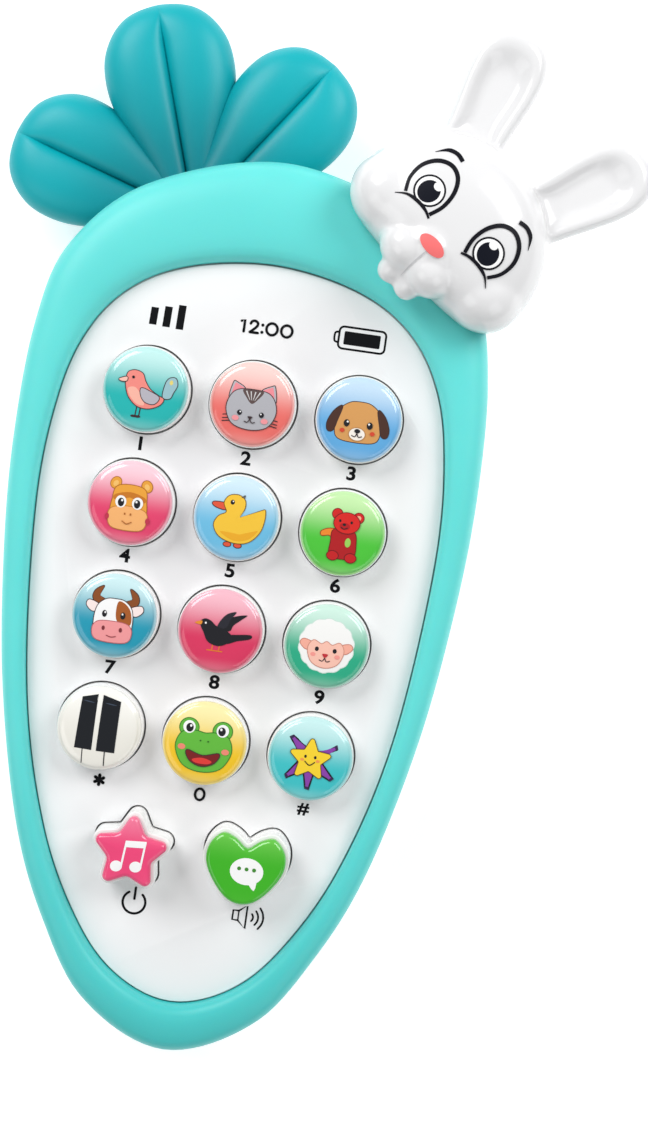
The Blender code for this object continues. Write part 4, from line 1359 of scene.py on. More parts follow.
@dataclass
class ShapedButton:
    """The star or the heart: a tall white plunger with a lens of the same outline."""

    name: str
    outline: Callable[[float], list[Point]]
    highlight_pale: int
    deep: int
    draw: Callable[[Sticker], None]
    rim: float = 0.6
    flange_depth: float = 1.2
    # The lens's rounded edge: its radius, the shares of it taken inwards and upwards, and the rise
    # of the crown inside it.
    edge: float = 1.0
    inwards: float = 0.9
    upwards: float = 0.86
    crown: float = 0.14

    def at(self) -> Point:
        """The plunger's axis, the middle of its round flange."""
        low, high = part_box(f"{self.name}_button_cap")
        return ((low.x + high.x) / 2 / MM, (low.y + high.y) / 2 / MM)

    def build(self) -> None:
        """Makes the plunger, the lens and its picture."""
        at = self.at()
        low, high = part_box(f"{self.name}_button_cap")
        flange = (high.x - low.x) / 2 / MM
        cap_low, cap_high = low.z / MM, high.z / MM
        cap = lathe(f"{self.name}_plunger", [(flange, cap_low), (flange, cap_low + self.flange_depth)], at)
        stem = prism("stem", placed(self.outline(self.rim), at), cap_low + 0.6, cap_high)
        carve(cap, stem, "UNION")
        sharp = math.radians(60)
        modify(cap, "BEVEL", width=0.3 * MM, segments=3, limit_method="ANGLE", angle_limit=sharp)
        shade(cap, 35.0)
        body = f"{self.name}_button"
        dress(cap, Finishes.KEY, body, "key_white", [f"{self.name}_button_cap"])
        low_z, high_z = (corner.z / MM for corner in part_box(f"{self.name}_button_lens"))
        foot = [Vector((x, y, low_z)) for x, y in placed(self.outline(0.0), at)]
        loops: list[Loop] = [[Vector((*at, low_z))] * len(foot), foot]
        shoulder = high_z - self.edge
        for turn in range(0, 91, 10):
            slope = math.radians(turn)
            ring = placed(self.outline(-self.edge * self.inwards * (1 - math.cos(slope))), at)
            height = shoulder + self.edge * self.upwards * math.sin(slope)
            loops.append([Vector((x, y, height)) for x, y in ring])
        last = loops[-1]
        for share in (0.15, 0.3, 0.5, 0.75, 1.0):
            height = high_z - (1 - share) ** 2 * self.edge * self.crown
            loops.append([Vector((*spot.xy.lerp(Vector(at), share), height)) for spot in last])
        lens = loft(f"{self.name}_lens", loops)
        shade(lens, 60.0)
        reach = max(Vector(point).length for point in self.outline(0.0))

        def colour_at(spot: Vector) -> Sequence[float]:
            """Paler towards the top of the lens as a painted highlight, and a little paler at the bottom as
            painted reflected light.
            """
            up = (spot.y / MM - at[1]) / reach
            # Painted highlight at the top, painted reflected light at the bottom.
            share = 0.5 * smoothstep(0.1, 1.0, up) + 0.12 * smoothstep(0.4, 1.0, -up)
            return mixed(self.deep, self.highlight_pale, share)

        tint(lens, colour_at)
        dress(lens, Finishes.DOME, body, f"lens_{self.name}", [f"{self.name}_button_lens"])
        tree = BVHTree.FromObject(lens, bpy.context.evaluated_depsgraph_get())

        def on_lens(x: float, y: float) -> Vector:
            """Where a point of the picture lies on the lens."""
            spot = tree.ray_cast(Vector(((at[0] + x) * MM, (at[1] + y) * MM, 1.0)), Vector((0, 0, -1)))[0]
            return spot / MM

        picture = Sticker(f"{self.name}_picture", on_lens)
        self.draw(picture)
        dress(picture.build(), Finishes.DOME, body, f"lens_{self.name}")


def star_corners(tip: float, notch: float) -> list[Point]:
    """The corners of a five-pointed star, counter-clockwise from the top, at these two radii.

    Args:
        tip: How far its points reach.
        notch: How far out its inner corners lie.

    Returns:
        The ten corners.
    """
    corners: list[Point] = []
    for i in range(10):
        radius = notch if i % 2 else tip
        turn = math.radians(90 + 36 * i)
        corners.append((radius * math.cos(turn), radius * math.sin(turn)))
    return corners


def star_outline(grow: float = 0.0) -> list[Point]:
    """The star button's outline, its points drawn out by what their rounding takes off."""
    tip_round, notch_round = 1.05, 1.4
    return grown(rounded(star_corners(6.9 + tip_round * 0.7, 4.0), (tip_round, notch_round), 10), grow)


def heart_outline(grow: float = 0.0) -> list[Point]:
    """The heart button's outline, counter-clockwise from the notch.

    Args:
        grow: How far it is moved outwards.

    Returns:
        The outline.
    """
    shape = ((0.0, 0.81), (0.3, 0.93), (0.65, 0.985), (0.94, 0.80), (0.97, 0.55), (0.74, 0.29), (0.38, 0.07))
    width, height = 14.0, 12.2
    half = [(-share * width / 2, (up - 0.5) * height) for share, up in shape]
    path = curve_through(half + [(0.0, -height / 2)] + [(-x, y) for x, y in reversed(half[1:])], 3)
    return curve_through(grown(path, grow), 3)


# ---------------------------------------------------------------- pictures on the keys

LINE = 0x3A2A2E
BLACK = 0x14141C
WHITE = 0xFAFAFA
# The left and the right half of what has two sides.
SIDES = (-1, 1)


def draw_songbird(art: Sticker) -> None:
    """A salmon songbird with a grey wing and a raised tail.

    Args:
        art: The key's picture.
    """
    for leg in (-0.95, -0.3):
        art.stroke([(leg, -2.6), (leg - 0.15, -4.6)], 0.22, LINE, steps=1)
        art.disc((leg - 0.4, -4.8), 0.55, 0.22, LINE)
    tail = [(3.2, -0.9), (3.4, 1.4), (4.0, 2.4), (5.0, 2.5), (5.4, 1.4), (4.9, 0.1), (4.4, -1.0)]
    art.blob(tail, 0x9CC3CC, LINE)
    art.disc((4.35, 1.7), 0.3, 0.42, 0xE8D77A)
    body = [(-3.4, 1.6), (-3.1, 2.6), (-2.0, 3.0), (-0.7, 2.6), (-0.1, 1.4), (0.9, 0.1), (2.4, -0.8)]
    body += [(3.4, -1.3), (2.8, -2.4), (1.0, -3.2), (-1.0, -3.0), (-2.6, -1.6), (-3.3, 0.2)]
    art.blob(body, 0xF58E84, LINE)
    breast = [(-2.9, -0.2), (-1.6, 0.1), (-0.3, -1.4), (0.2, -2.7), (-1.0, -2.7), (-2.3, -1.6)]
    art.blob(breast, 0xFBB8A6)
    wing = [(-0.6, 0.1), (1.0, -0.3), (2.6, -1.1), (1.9, -2.3), (0.4, -2.2), (-0.5, -1.2)]
    art.blob(wing, 0xB9B6C0, LINE)
    art.blob([(-3.3, 1.7), (-4.6, 1.2), (-4.2, 0.9), (-3.3, 1.0)], 0xFBC3B4, LINE, 3)
    art.disc((-2.2, 1.8), 0.24, 0.24, BLACK)


def draw_cat(art: Sticker) -> None:
    """A grey cat's face with a striped forehead.

    Args:
        art: The key's picture.
    """
    for side in SIDES:
        ear = sided([(3.9, 0.6), (3.6, 3.3), (3.1, 3.5), (1.4, 2.3)], side)
        art.blob(ear, 0xB9B8BE, LINE)
        art.blob([(x * 0.93, y * 0.9 + 0.1) for x, y in ear], 0xF2909A)
        for rise in (-2.3, -2.9, -3.4):
            art.stroke([(side * 3.4, rise + 0.2), (side * 4.7, rise)], 0.16, LINE, steps=1)
    face = [(0.0, 2.5), (2.6, 2.2), (3.9, 0.8), (4.2, -1.4), (2.9, -3.6), (0.0, -4.3)]
    art.blob(mirrored(face), 0xB4B4BA, LINE)
    art.blob([(-1.8, 2.35), (-1.0, 1.0), (0.0, 0.1), (1.0, 1.0), (1.8, 2.35), (0.0, 2.5)], 0x5E4C4A)
    for lean in (-0.8, -0.27, 0.27, 0.8):
        art.stroke([(lean * 1.5, 2.2), (lean * 0.5, 0.7)], 0.24, 0xD9D6D6, (0.9, 0.3), steps=1)
    for side in SIDES:
        art.disc((side * 1.9, -1.6), 0.42, 0.46, BLACK)
        art.disc((side * 1.78, -1.45), 0.13, 0.13, WHITE)
        art.disc((side * 2.5, -2.6), 0.6, 0.45, 0xF59AA0)
    art.blob([(-0.42, -2.1), (0.42, -2.1), (0.0, -2.6)], LINE, steps=4)
    for side in SIDES:
        art.stroke(sided([(0.0, -2.5), (0.35, -3.1), (0.9, -3.0)], side), 0.16, LINE)


def draw_dog(art: Sticker) -> None:
    """A tan puppy's face with dark drooping ears.

    Args:
        art: The key's picture.
    """
    face = [(0.0, 3.0), (1.9, 2.7), (3.5, 1.2), (3.9, -1.6), (3.2, -3.5), (0.0, -3.9)]
    art.blob(mirrored(face), 0xD99E5B, LINE)
    for side in SIDES:
        ear = [(3.1, 2.0), (4.4, 1.0), (5.3, -1.0), (5.1, -2.4), (4.2, -2.3), (3.7, -0.6)]
        art.blob(sided(ear, side), 0x4A2C22, LINE)
    art.disc((0.0, -2.5), 1.35, 1.05, 0xFAF4EA, edge=0xB98550)
    for side in SIDES:
        art.disc((side * 2.0, -0.8), 0.5, 0.62, BLACK)
        art.disc((side * 1.85, -0.55), 0.17, 0.17, WHITE)
        art.disc((side * 2.6, -2.1), 0.42, 0.36, 0xD8492F)
        art.stroke(sided([(0.0, -2.3), (0.3, -2.95), (0.85, -2.8)], side), 0.17, LINE)
    art.disc((0.0, -1.95), 0.5, 0.36, BLACK)


def draw_hippo(art: Sticker) -> None:
    """An orange hippo's face with a broad peach muzzle.

    Args:
        art: The key's picture.
    """
    for side in SIDES:
        art.disc((side * 2.7, 3.2), 0.85, 1.0, 0xE9A23B, turn=side * 30, edge=0xB06A20)
        art.disc((side * 2.7, 3.1), 0.42, 0.55, 0xF5C06A, turn=side * 30)
    head = [(0.0, 3.1), (2.4, 2.6), (2.9, 0.6), (2.6, -2.0)]
    art.blob(mirrored(head), 0xEDA43A, 0xB06A20)
    art.blob([(-2.6, 1.2), (0.0, 1.9), (2.6, 1.2), (2.5, 0.3), (0.0, 1.0), (-2.5, 0.3)], 0xC97820)
    muzzle = [(0.0, -0.6), (2.9, -1.2), (3.3, -3.0), (2.2, -4.5)]
    art.blob(mirrored(muzzle), 0xF9B672, 0xC57F35)
    for side in SIDES:
        art.disc((side * 1.45, 0.1), 0.95, 1.05, WHITE)
        art.disc((side * 1.4, 0.0), 0.55, 0.75, BLACK)
        art.disc((side * 1.25, 0.35), 0.18, 0.2, WHITE)
        art.disc((side * 3.5, -2.7), 0.35, 0.55, 0xC2334E)
    for side in SIDES:
        art.disc((side * 0.5, -1.9), 0.14, 0.2, 0xB0672A)
    art.stroke([(-0.8, -3.2), (0.0, -3.6), (0.8, -3.2)], 0.16, 0xB0672A)


def draw_duck(art: Sticker) -> None:
    """A yellow duckling, swimming to the left.

    Args:
        art: The key's picture.
    """
    for foot in (-0.9, 0.9):
        art.disc((foot, -4.6), 0.62, 0.36, 0xE4573A, edge=LINE)
    art.blob([(-1.9, 2.3), (-3.9, 2.4), (-4.3, 2.0), (-3.5, 1.5), (-1.9, 1.3)], 0xE4573A, LINE, 3)
    body = [(-2.3, 2.4), (-1.6, 3.7), (0.0, 4.0), (1.2, 3.2), (1.2, 1.6), (0.1, 0.2), (0.2, -0.3), (2.6, 0.0)]
    body += [(4.2, 1.4), (4.8, 2.1), (4.9, 0.2), (4.3, -2.0), (2.6, -3.8), (0.2, -4.2), (-2.4, -3.4)]
    body += [(-3.6, -1.6), (-3.0, 0.0), (-1.7, 0.9)]
    art.blob(body, 0xF7C73A, 0x7A5412, 4)
    wing = [(-2.4, -2.6), (0.0, -3.8), (2.6, -3.3), (4.0, -1.6), (1.6, -2.6), (-0.8, -2.5)]
    art.blob(wing, 0xEFAE25)
    art.disc((-0.9, 2.7), 0.36, 0.42, BLACK)
    art.disc((-0.8, 2.85), 0.12, 0.12, WHITE)
    art.stroke([(0.6, 3.7), (1.1, 4.1), (1.0, 3.6)], 0.14, LINE)


def draw_bear(art: Sticker) -> None:
    """A small red bear, seated with one paw raised.

    Args:
        art: The key's picture.
    """
    outline, shade_line = 0x7A0D12, 0x6B0A10
    art.disc((-1.3, 3.3), 0.85, 0.85, 0xD3201F, edge=outline)
    art.disc((2.4, 3.0), 0.85, 0.85, 0xD3201F, edge=outline)
    art.disc((2.4, 3.0), 0.42, 0.42, 0xF7B48C)
    paw = [(-0.5, 0.4), (-2.3, 0.6), (-3.6, 0.0), (-3.5, -0.7), (-2.2, -0.5), (-1.3, -1.4), (-0.6, -1.2)]
    art.blob(paw, 0xF08A2C, 0x9A2A12)
    belly = [(-1.5, 0.6), (1.8, 0.6), (2.5, -1.6), (2.3, -3.9), (0.4, -4.3), (-1.7, -3.9), (-1.8, -1.6)]
    art.blob(belly, 0xB3141B, shade_line)
    art.disc((-1.2, -3.9), 0.95, 0.75, 0xC81A1E, edge=shade_line)
    art.disc((1.9, -4.0), 0.95, 0.75, 0xC81A1E, edge=shade_line)
    art.disc((1.1, -1.4), 0.5, 0.8, 0x9BD35A)
    art.disc((0.5, 1.9), 2.2, 1.75, 0xD9231F, edge=outline)
    art.disc((0.2, 1.3), 0.9, 0.62, 0xB3141B)
    art.disc((0.1, 1.6), 0.3, 0.22, BLACK)
    art.disc((-0.7, 2.2), 0.2, 0.24, BLACK)
    art.disc((1.3, 2.1), 0.2, 0.24, BLACK)
    art.stroke([(-0.4, 1.1), (0.1, 0.85), (0.7, 1.1)], 0.14, BLACK)


def draw_cow(art: Sticker) -> None:
    """A white cow's face with a brown patch, horns and a pink muzzle.

    Args:
        art: The key's picture.
    """
    horn = [(1.4, 2.5), (2.6, 2.8), (2.9, 3.8), (2.3, 5.0), (3.6, 4.2), (4.0, 2.9), (3.1, 1.8)]
    ear = [(2.7, 1.7), (4.5, 2.3), (4.9, 1.4), (3.9, 0.5), (3.0, 0.7)]
    for side in SIDES:
        art.blob(sided(horn, side), 0x8A4B1F, LINE)
        art.blob(sided(ear, side), 0xFBE9E6, LINE)
    face = [(0.0, 3.0), (1.6, 2.8), (3.0, 1.4), (3.3, -1.4), (2.6, -3.6)]
    art.blob(mirrored(face), WHITE, LINE)
    patch = [(0.6, 2.7), (1.9, 2.3), (2.9, 1.0), (3.1, -1.0), (1.9, -1.6), (0.6, -0.6), (0.3, 1.2)]
    art.blob(patch, 0xA85A22)
    muzzle = [(0.0, -0.9), (2.6, -1.2), (3.4, -2.6), (2.4, -4.3)]
    art.blob(mirrored(muzzle), 0xF59D9F, 0xB9646A)
    for side in SIDES:
        art.disc((side * 1.6, 0.3), 0.42, 0.6, BLACK)
        art.disc((side * 1.5, 0.55), 0.15, 0.18, WHITE)
        art.disc((side * 1.5, -2.2), 0.28, 0.4, 0x7C2F36)
    art.stroke([(-0.8, -3.4), (0.0, -3.6), (0.8, -3.4)], 0.15, 0x9A4149)


def draw_blackbird(art: Sticker) -> None:
    """A blackbird with its wings up.

    Args:
        art: The key's picture.
    """
    for leg in (-0.9, 0.3):
        art.stroke([(leg, -2.2), (leg - 0.1, -3.3)], 0.2, 0xE5762A, steps=1)
        art.stroke([(leg - 0.9, -3.4), (leg + 0.5, -3.4)], 0.22, 0xE5762A, steps=1)
    far_wing = [(-0.4, 0.5), (0.8, 2.2), (2.4, 3.0), (4.3, 3.4), (3.4, 2.5), (2.2, 1.4), (1.6, 0.3)]
    art.blob(far_wing, BLACK)
    art.blob([(-0.6, 0.3), (-0.2, 1.8), (0.9, 3.2), (2.4, 3.7), (1.6, 2.4), (1.0, 0.9)], 0x23232D)
    art.blob([(0.8, -0.6), (3.2, -0.1), (5.4, 0.1), (5.3, -0.6), (3.2, -1.2), (1.4, -1.9)], BLACK)
    body = [(-3.6, 1.1), (-2.9, 1.9), (-1.8, 1.7), (-0.7, 0.9), (1.0, 0.4), (2.2, -0.6), (1.6, -1.8)]
    art.blob([*body, (0.0, -2.5), (-1.8, -2.0), (-2.7, -0.6)], BLACK)
    art.blob([(-3.3, 1.5), (-4.5, 1.0), (-3.4, 0.8)], 0xE5902A, steps=3)
    art.disc((-2.6, 1.2), 0.17, 0.17, WHITE)


def draw_sheep(art: Sticker) -> None:
    """A sheep's face in a white fleece.

    Args:
        art: The key's picture.
    """
    fleece: list[Point] = []
    for i in range(64):
        turn = math.tau * i / 64
        puff = 1 + 0.055 * abs(math.sin(turn * 7))
        fleece.append((4.55 * puff * math.cos(turn), 0.2 + 4.45 * puff * math.sin(turn)))
    art.patch(fleece, 0xF7F7F5, 0xCFE5DC)
    for side in SIDES:
        ear = [(2.6, 0.5), (4.0, 0.9), (4.5, 0.2), (3.6, -0.7), (2.8, -0.6)]
        art.blob(sided(ear, side), 0xF7B09C, 0xC9806E)
    face = [(-3.1, -0.6), (-2.3, 0.9), (-0.9, 0.4), (0.0, 0.9), (1.0, 0.4), (2.3, 0.9), (3.1, -0.6)]
    art.blob([*face, (2.2, -2.8), (0.0, -3.6), (-2.2, -2.8)], 0xFBC4B2, 0xD08E7C)
    for side in SIDES:
        art.disc((side * 1.55, -0.5), 0.34, 0.4, BLACK)
        art.disc((side * 2.1, -1.5), 0.45, 0.35, 0xF79C93)
        art.stroke(sided([(0.0, -1.9), (0.35, -2.5), (0.9, -2.35)], side), 0.17, LINE)
    art.blob([(-0.5, -1.25), (0.5, -1.25), (0.0, -1.9)], 0xC22B35, steps=4)


def draw_piano(art: Sticker) -> None:
    """Two black piano keys above two white ones.

    Args:
        art: The key's picture.
    """
    left = [(-3.75, -3.8), (-0.7, -3.85), (-0.72, 5.95), (-3.45, 5.15)]
    right = [(0.1, -3.85), (3.3, -3.85), (3.3, 5.15), (0.15, 5.95)]
    for corners, line in ((left, -2.3), (right, 1.6)):
        sides = list(zip(corners, corners[1:] + corners[:1]))
        outline = [tuple(Vector(start).lerp(Vector(end), k / 8)) for start, end in sides for k in range(8)]
        art.patch(outline, 0x0A1018)
        art.stroke([(line, -3.7), (line + 0.1, -6.3)], 0.17, 0x1A1A20)
        art.stroke([(line - 0.9, 4.6), (line + 1.1, 4.4)], 0.2, 0x3A4658, (0.2, 0.2), steps=3)


def draw_frog(art: Sticker) -> None:
    """A green frog's face with a wide open smile.

    Args:
        art: The key's picture.
    """
    art.zoom = 1.12
    for side in SIDES:
        art.disc((side * 2.6, 2.3), 1.45, 1.4, 0x5FB53A, edge=0x2E7A22)
    face = [(0.0, 1.7), (1.6, 1.9), (3.6, 1.4), (4.3, -0.9), (2.9, -3.5), (0.0, -4.3)]
    art.blob(mirrored(face), 0x62BA3C, 0x2E7A22)
    for side in SIDES:
        art.disc((side * 2.6, 2.4), 0.95, 0.98, WHITE)
        art.disc((side * 2.5, 2.3), 0.58, 0.68, BLACK)
        art.disc((side * 2.35, 2.6), 0.18, 0.2, WHITE)
        art.disc((side * 3.4, -0.8), 0.6, 0.45, 0xF08B74)
        art.disc((side * 0.6, 0.5), 0.14, 0.12, 0x2E6A1E)
    mouth = [(0.0, -1.8), (2.5, -1.2), (1.9, -2.7), (0.0, -3.4)]
    art.blob(mirrored(mouth), 0x7A1518, LINE)
    art.blob([(-1.5, -2.5), (0.0, -2.1), (1.5, -2.5), (0.9, -3.0), (-0.9, -3.0)], 0xE23A34)


def draw_smiling_star(art: Sticker) -> None:
    """A yellow star smiling in front of a purple one.

    Args:
        art: The key's picture.
    """
    for bearing in (32, 136, 223, 272, 325):
        turn = math.radians(bearing)
        out = Vector((math.cos(turn), math.sin(turn)))
        aside = Vector((-out.y, out.x))
        # Each corner's reach along the arm and its place across it.
        arm = ((0.6, -1.25), (5.1, -0.34), (5.3, 0.2), (0.6, 1.25))
        art.patch([tuple(out * along + aside * across) for along, across in arm], 0x8A3FA8, BLACK)
        tip = ((4.7, -0.42), (5.15, -0.3), (5.3, 0.16), (4.8, 0.34))
        art.patch([tuple(out * along + aside * across) for along, across in tip], 0x33214A)
    art.patch(rounded(star_corners(4.1, 1.95), (0.35, 0.3), 4), 0xF8D52E, 0x5C4410)
    for side in SIDES:
        art.disc((side * 0.85, 0.5), 0.22, 0.28, BLACK)
        art.disc((side * 1.35, -0.1), 0.34, 0.24, 0xF39A52)
    art.stroke([(-0.85, -0.35), (0.0, -0.95), (0.85, -0.35)], 0.18, BLACK)


def draw_notes(art: Sticker) -> None:
    """Two white quavers under one beam.

    Args:
        art: The star's picture.
    """
    for head in ((-2.0, -2.4), (1.35, -2.1)):
        art.disc(head, 1.05, 0.95, WHITE, turn=18)
    art.stroke([(-1.15, -2.3), (-0.75, 2.1)], 0.34, WHITE, steps=3)
    art.stroke([(2.2, -2.0), (2.55, 2.3)], 0.34, WHITE, steps=3)
    art.patch([(-0.9, 1.1), (2.6, 1.35), (2.7, 2.5), (-0.75, 2.25)], WHITE)


def draw_speech(art: Sticker) -> None:
    """A white speech bubble with three dots.

    Args:
        art: The heart's picture.
    """
    art.blob([(0.8, -1.7), (2.1, -3.3), (2.3, -1.3)], WHITE, steps=3)
    art.disc((0.45, -0.1), 2.9, 2.35, WHITE)
    for across in (-0.9, 0.4, 1.7):
        art.disc((across, 0.3), 0.34, 0.34, 0x3F8A2C)


KEYS = (
    RoundKey("1", "1", 0xC9F3F0, 0x1FB9B6, draw_songbird),
    RoundKey("2", "2", 0xFCD9D3, 0xF0716A, draw_cat),
    RoundKey("3", "3", 0xCBE4F8, 0x62AEE4, draw_dog),
    RoundKey("4", "4", 0xFCD5E0, 0xE8436F, draw_hippo),
    RoundKey("5", "5", 0xD6EEFA, 0x6FC0E6, draw_duck),
    RoundKey("6", "6", 0xCDF3B4, 0x4CC83A, draw_bear),
    RoundKey("7", "7", 0xD2F1F4, 0x1C9CB8, draw_cow),
    RoundKey("8", "8", 0xF9C0CE, 0xDD3560, draw_blackbird),
    RoundKey("9", "9", 0xD5F3E6, 0x27AE86, draw_sheep),
    RoundKey("asterisk", "*", 0xFBFAF4, 0xEFEDE4, draw_piano),
    RoundKey("0", "0", 0xFCF3B4, 0xF6C81E, draw_frog),
    RoundKey("hash", "#", 0xCDF1F0, 0x3CC3C8, draw_smiling_star),
)

BUTTONS = (
    ShapedButton("star", star_outline, 0xFA9DB8, 0xF0457A, draw_notes),
    ShapedButton("heart", heart_outline, 0x8FE06A, 0x3BB51B, draw_speech),
)


@dataclass
class LeafTuft:
    """Three puffy leaves of soft rubber, seated in the handset's top."""

    root: Point = (-15.54, 66.27)
    low: float = 6.0
    depth: float = 11.0
    stations: int = 72
    around: int = 120
    groove: float = 0.44
    # Each leaf: name, turn, length, half width, lift.
    leaves: tuple[tuple[str, float, float, float, float], ...] = (
        ("middle", 17.8, 37.6, 11.5, 0.0),
        ("left", 72.8, 35.0, 11.2, -0.6),
        ("right", -35.8, 36.2, 11.1, 0.9),
    )
    # Half of a leaf, as (share of its length, share of its half width).
    shape: Table = (
        (-0.12, 0.3), (0.0, 0.4), (0.12, 0.47), (0.24, 0.56), (0.38, 0.74), (0.52, 0.92), (0.65, 1.0),
        (0.78, 0.97), (0.88, 0.82), (0.95, 0.6), (0.985, 0.34), (1.0, 0.0),
    )

    def build(self, handset: Handset) -> None:
        """Makes the three leaves.

        Args:
            handset: The body whose edge the leaves meet.
        """
        made = [self._leaf(*leaf) for leaf in self.leaves]
        for number, leaf in enumerate(made):
            seat = prism("seat", grown(handset.body, handset.gap), -1.0, handset.crest + 2)
            carve(leaf, seat)
            shade(leaf, 55.0)
            dress(leaf, Finishes.LEAF, "housing", "leaf_tpe", ["leaf_teether"] if number == 0 else [])

    def _leaf(self, name: str, turn: float, length: float, half: float, lift: float) -> bpy.types.Object:
        """Lofts one leaf from its base to its tip.

        Args:
            name: What the leaf is called.
            turn: Its bearing from straight up, in degrees, counter-clockwise.
            length: Its length from the root.
            half: Half its width.
            lift: How far it is raised.

        Returns:
            The leaf.
        """
        spin = Matrix.Rotation(math.radians(turn), 2)
        middle = self.low + lift + self.depth / 2
        start = self.shape[0][0]
        widths = sorted(curve_through(self.shape, 8, closed=False))
        loops: list[Loop] = []
        for station in range(self.stations + 1):
            share = math.sin(math.pi / 2 * station / self.stations)
            along = start + (1 - start) * share
            width = half * self._width_at(widths, along)
            swell = 1.0 if along < 0.55 else math.sqrt(max(0.0, 1 - ((along - 0.55) / 0.45) ** 3.2))
            swell *= 0.82 + 0.18 * smoothstep(0.0, 0.6, along)
            fade = 1 - 0.75 * smoothstep(0.78, 0.98, along)
            loop: Loop = []
            for i in range(self.around):
                bearing = math.tau * i / self.around
                t = math.cos(bearing)
                cross = math.copysign(abs(t) ** 1.5, t)
                body = max(0.0, 1 - abs(cross) ** 3.2) ** 0.5
                valley = 0.55 * math.exp(-abs(cross) / 0.05) + 0.45 * math.exp(-abs(cross) / 0.3)
                rise = self.depth / 2 * swell * body * (1 - self.groove * fade * valley)
                spot = Vector(self.root) + spin @ Vector((cross * width, along * length))
                height = middle + (rise if bearing < math.pi else -rise)
                loop.append(Vector((spot.x, spot.y, height)))
            loops.append(loop)
        foot = sum(loops[0], Vector()) / self.around
        return loft(f"leaf_{name}", [[foot] * self.around, *loops])

    def _width_at(self, widths: Sequence[Point], along: float) -> float:
        """Reads the half width's share off the finer curve.

        Args:
            widths: The curve, as (share of the length, share of the half width).
            along: The share of the length.

        Returns:
            The share of the half width.
        """
        for (start, near), (end, far) in zip(widths, widths[1:]):
            if along <= end:
                return max(0.0, near + (far - near) * (along - start) / max(end - start, 1e-9))
        return 0.0


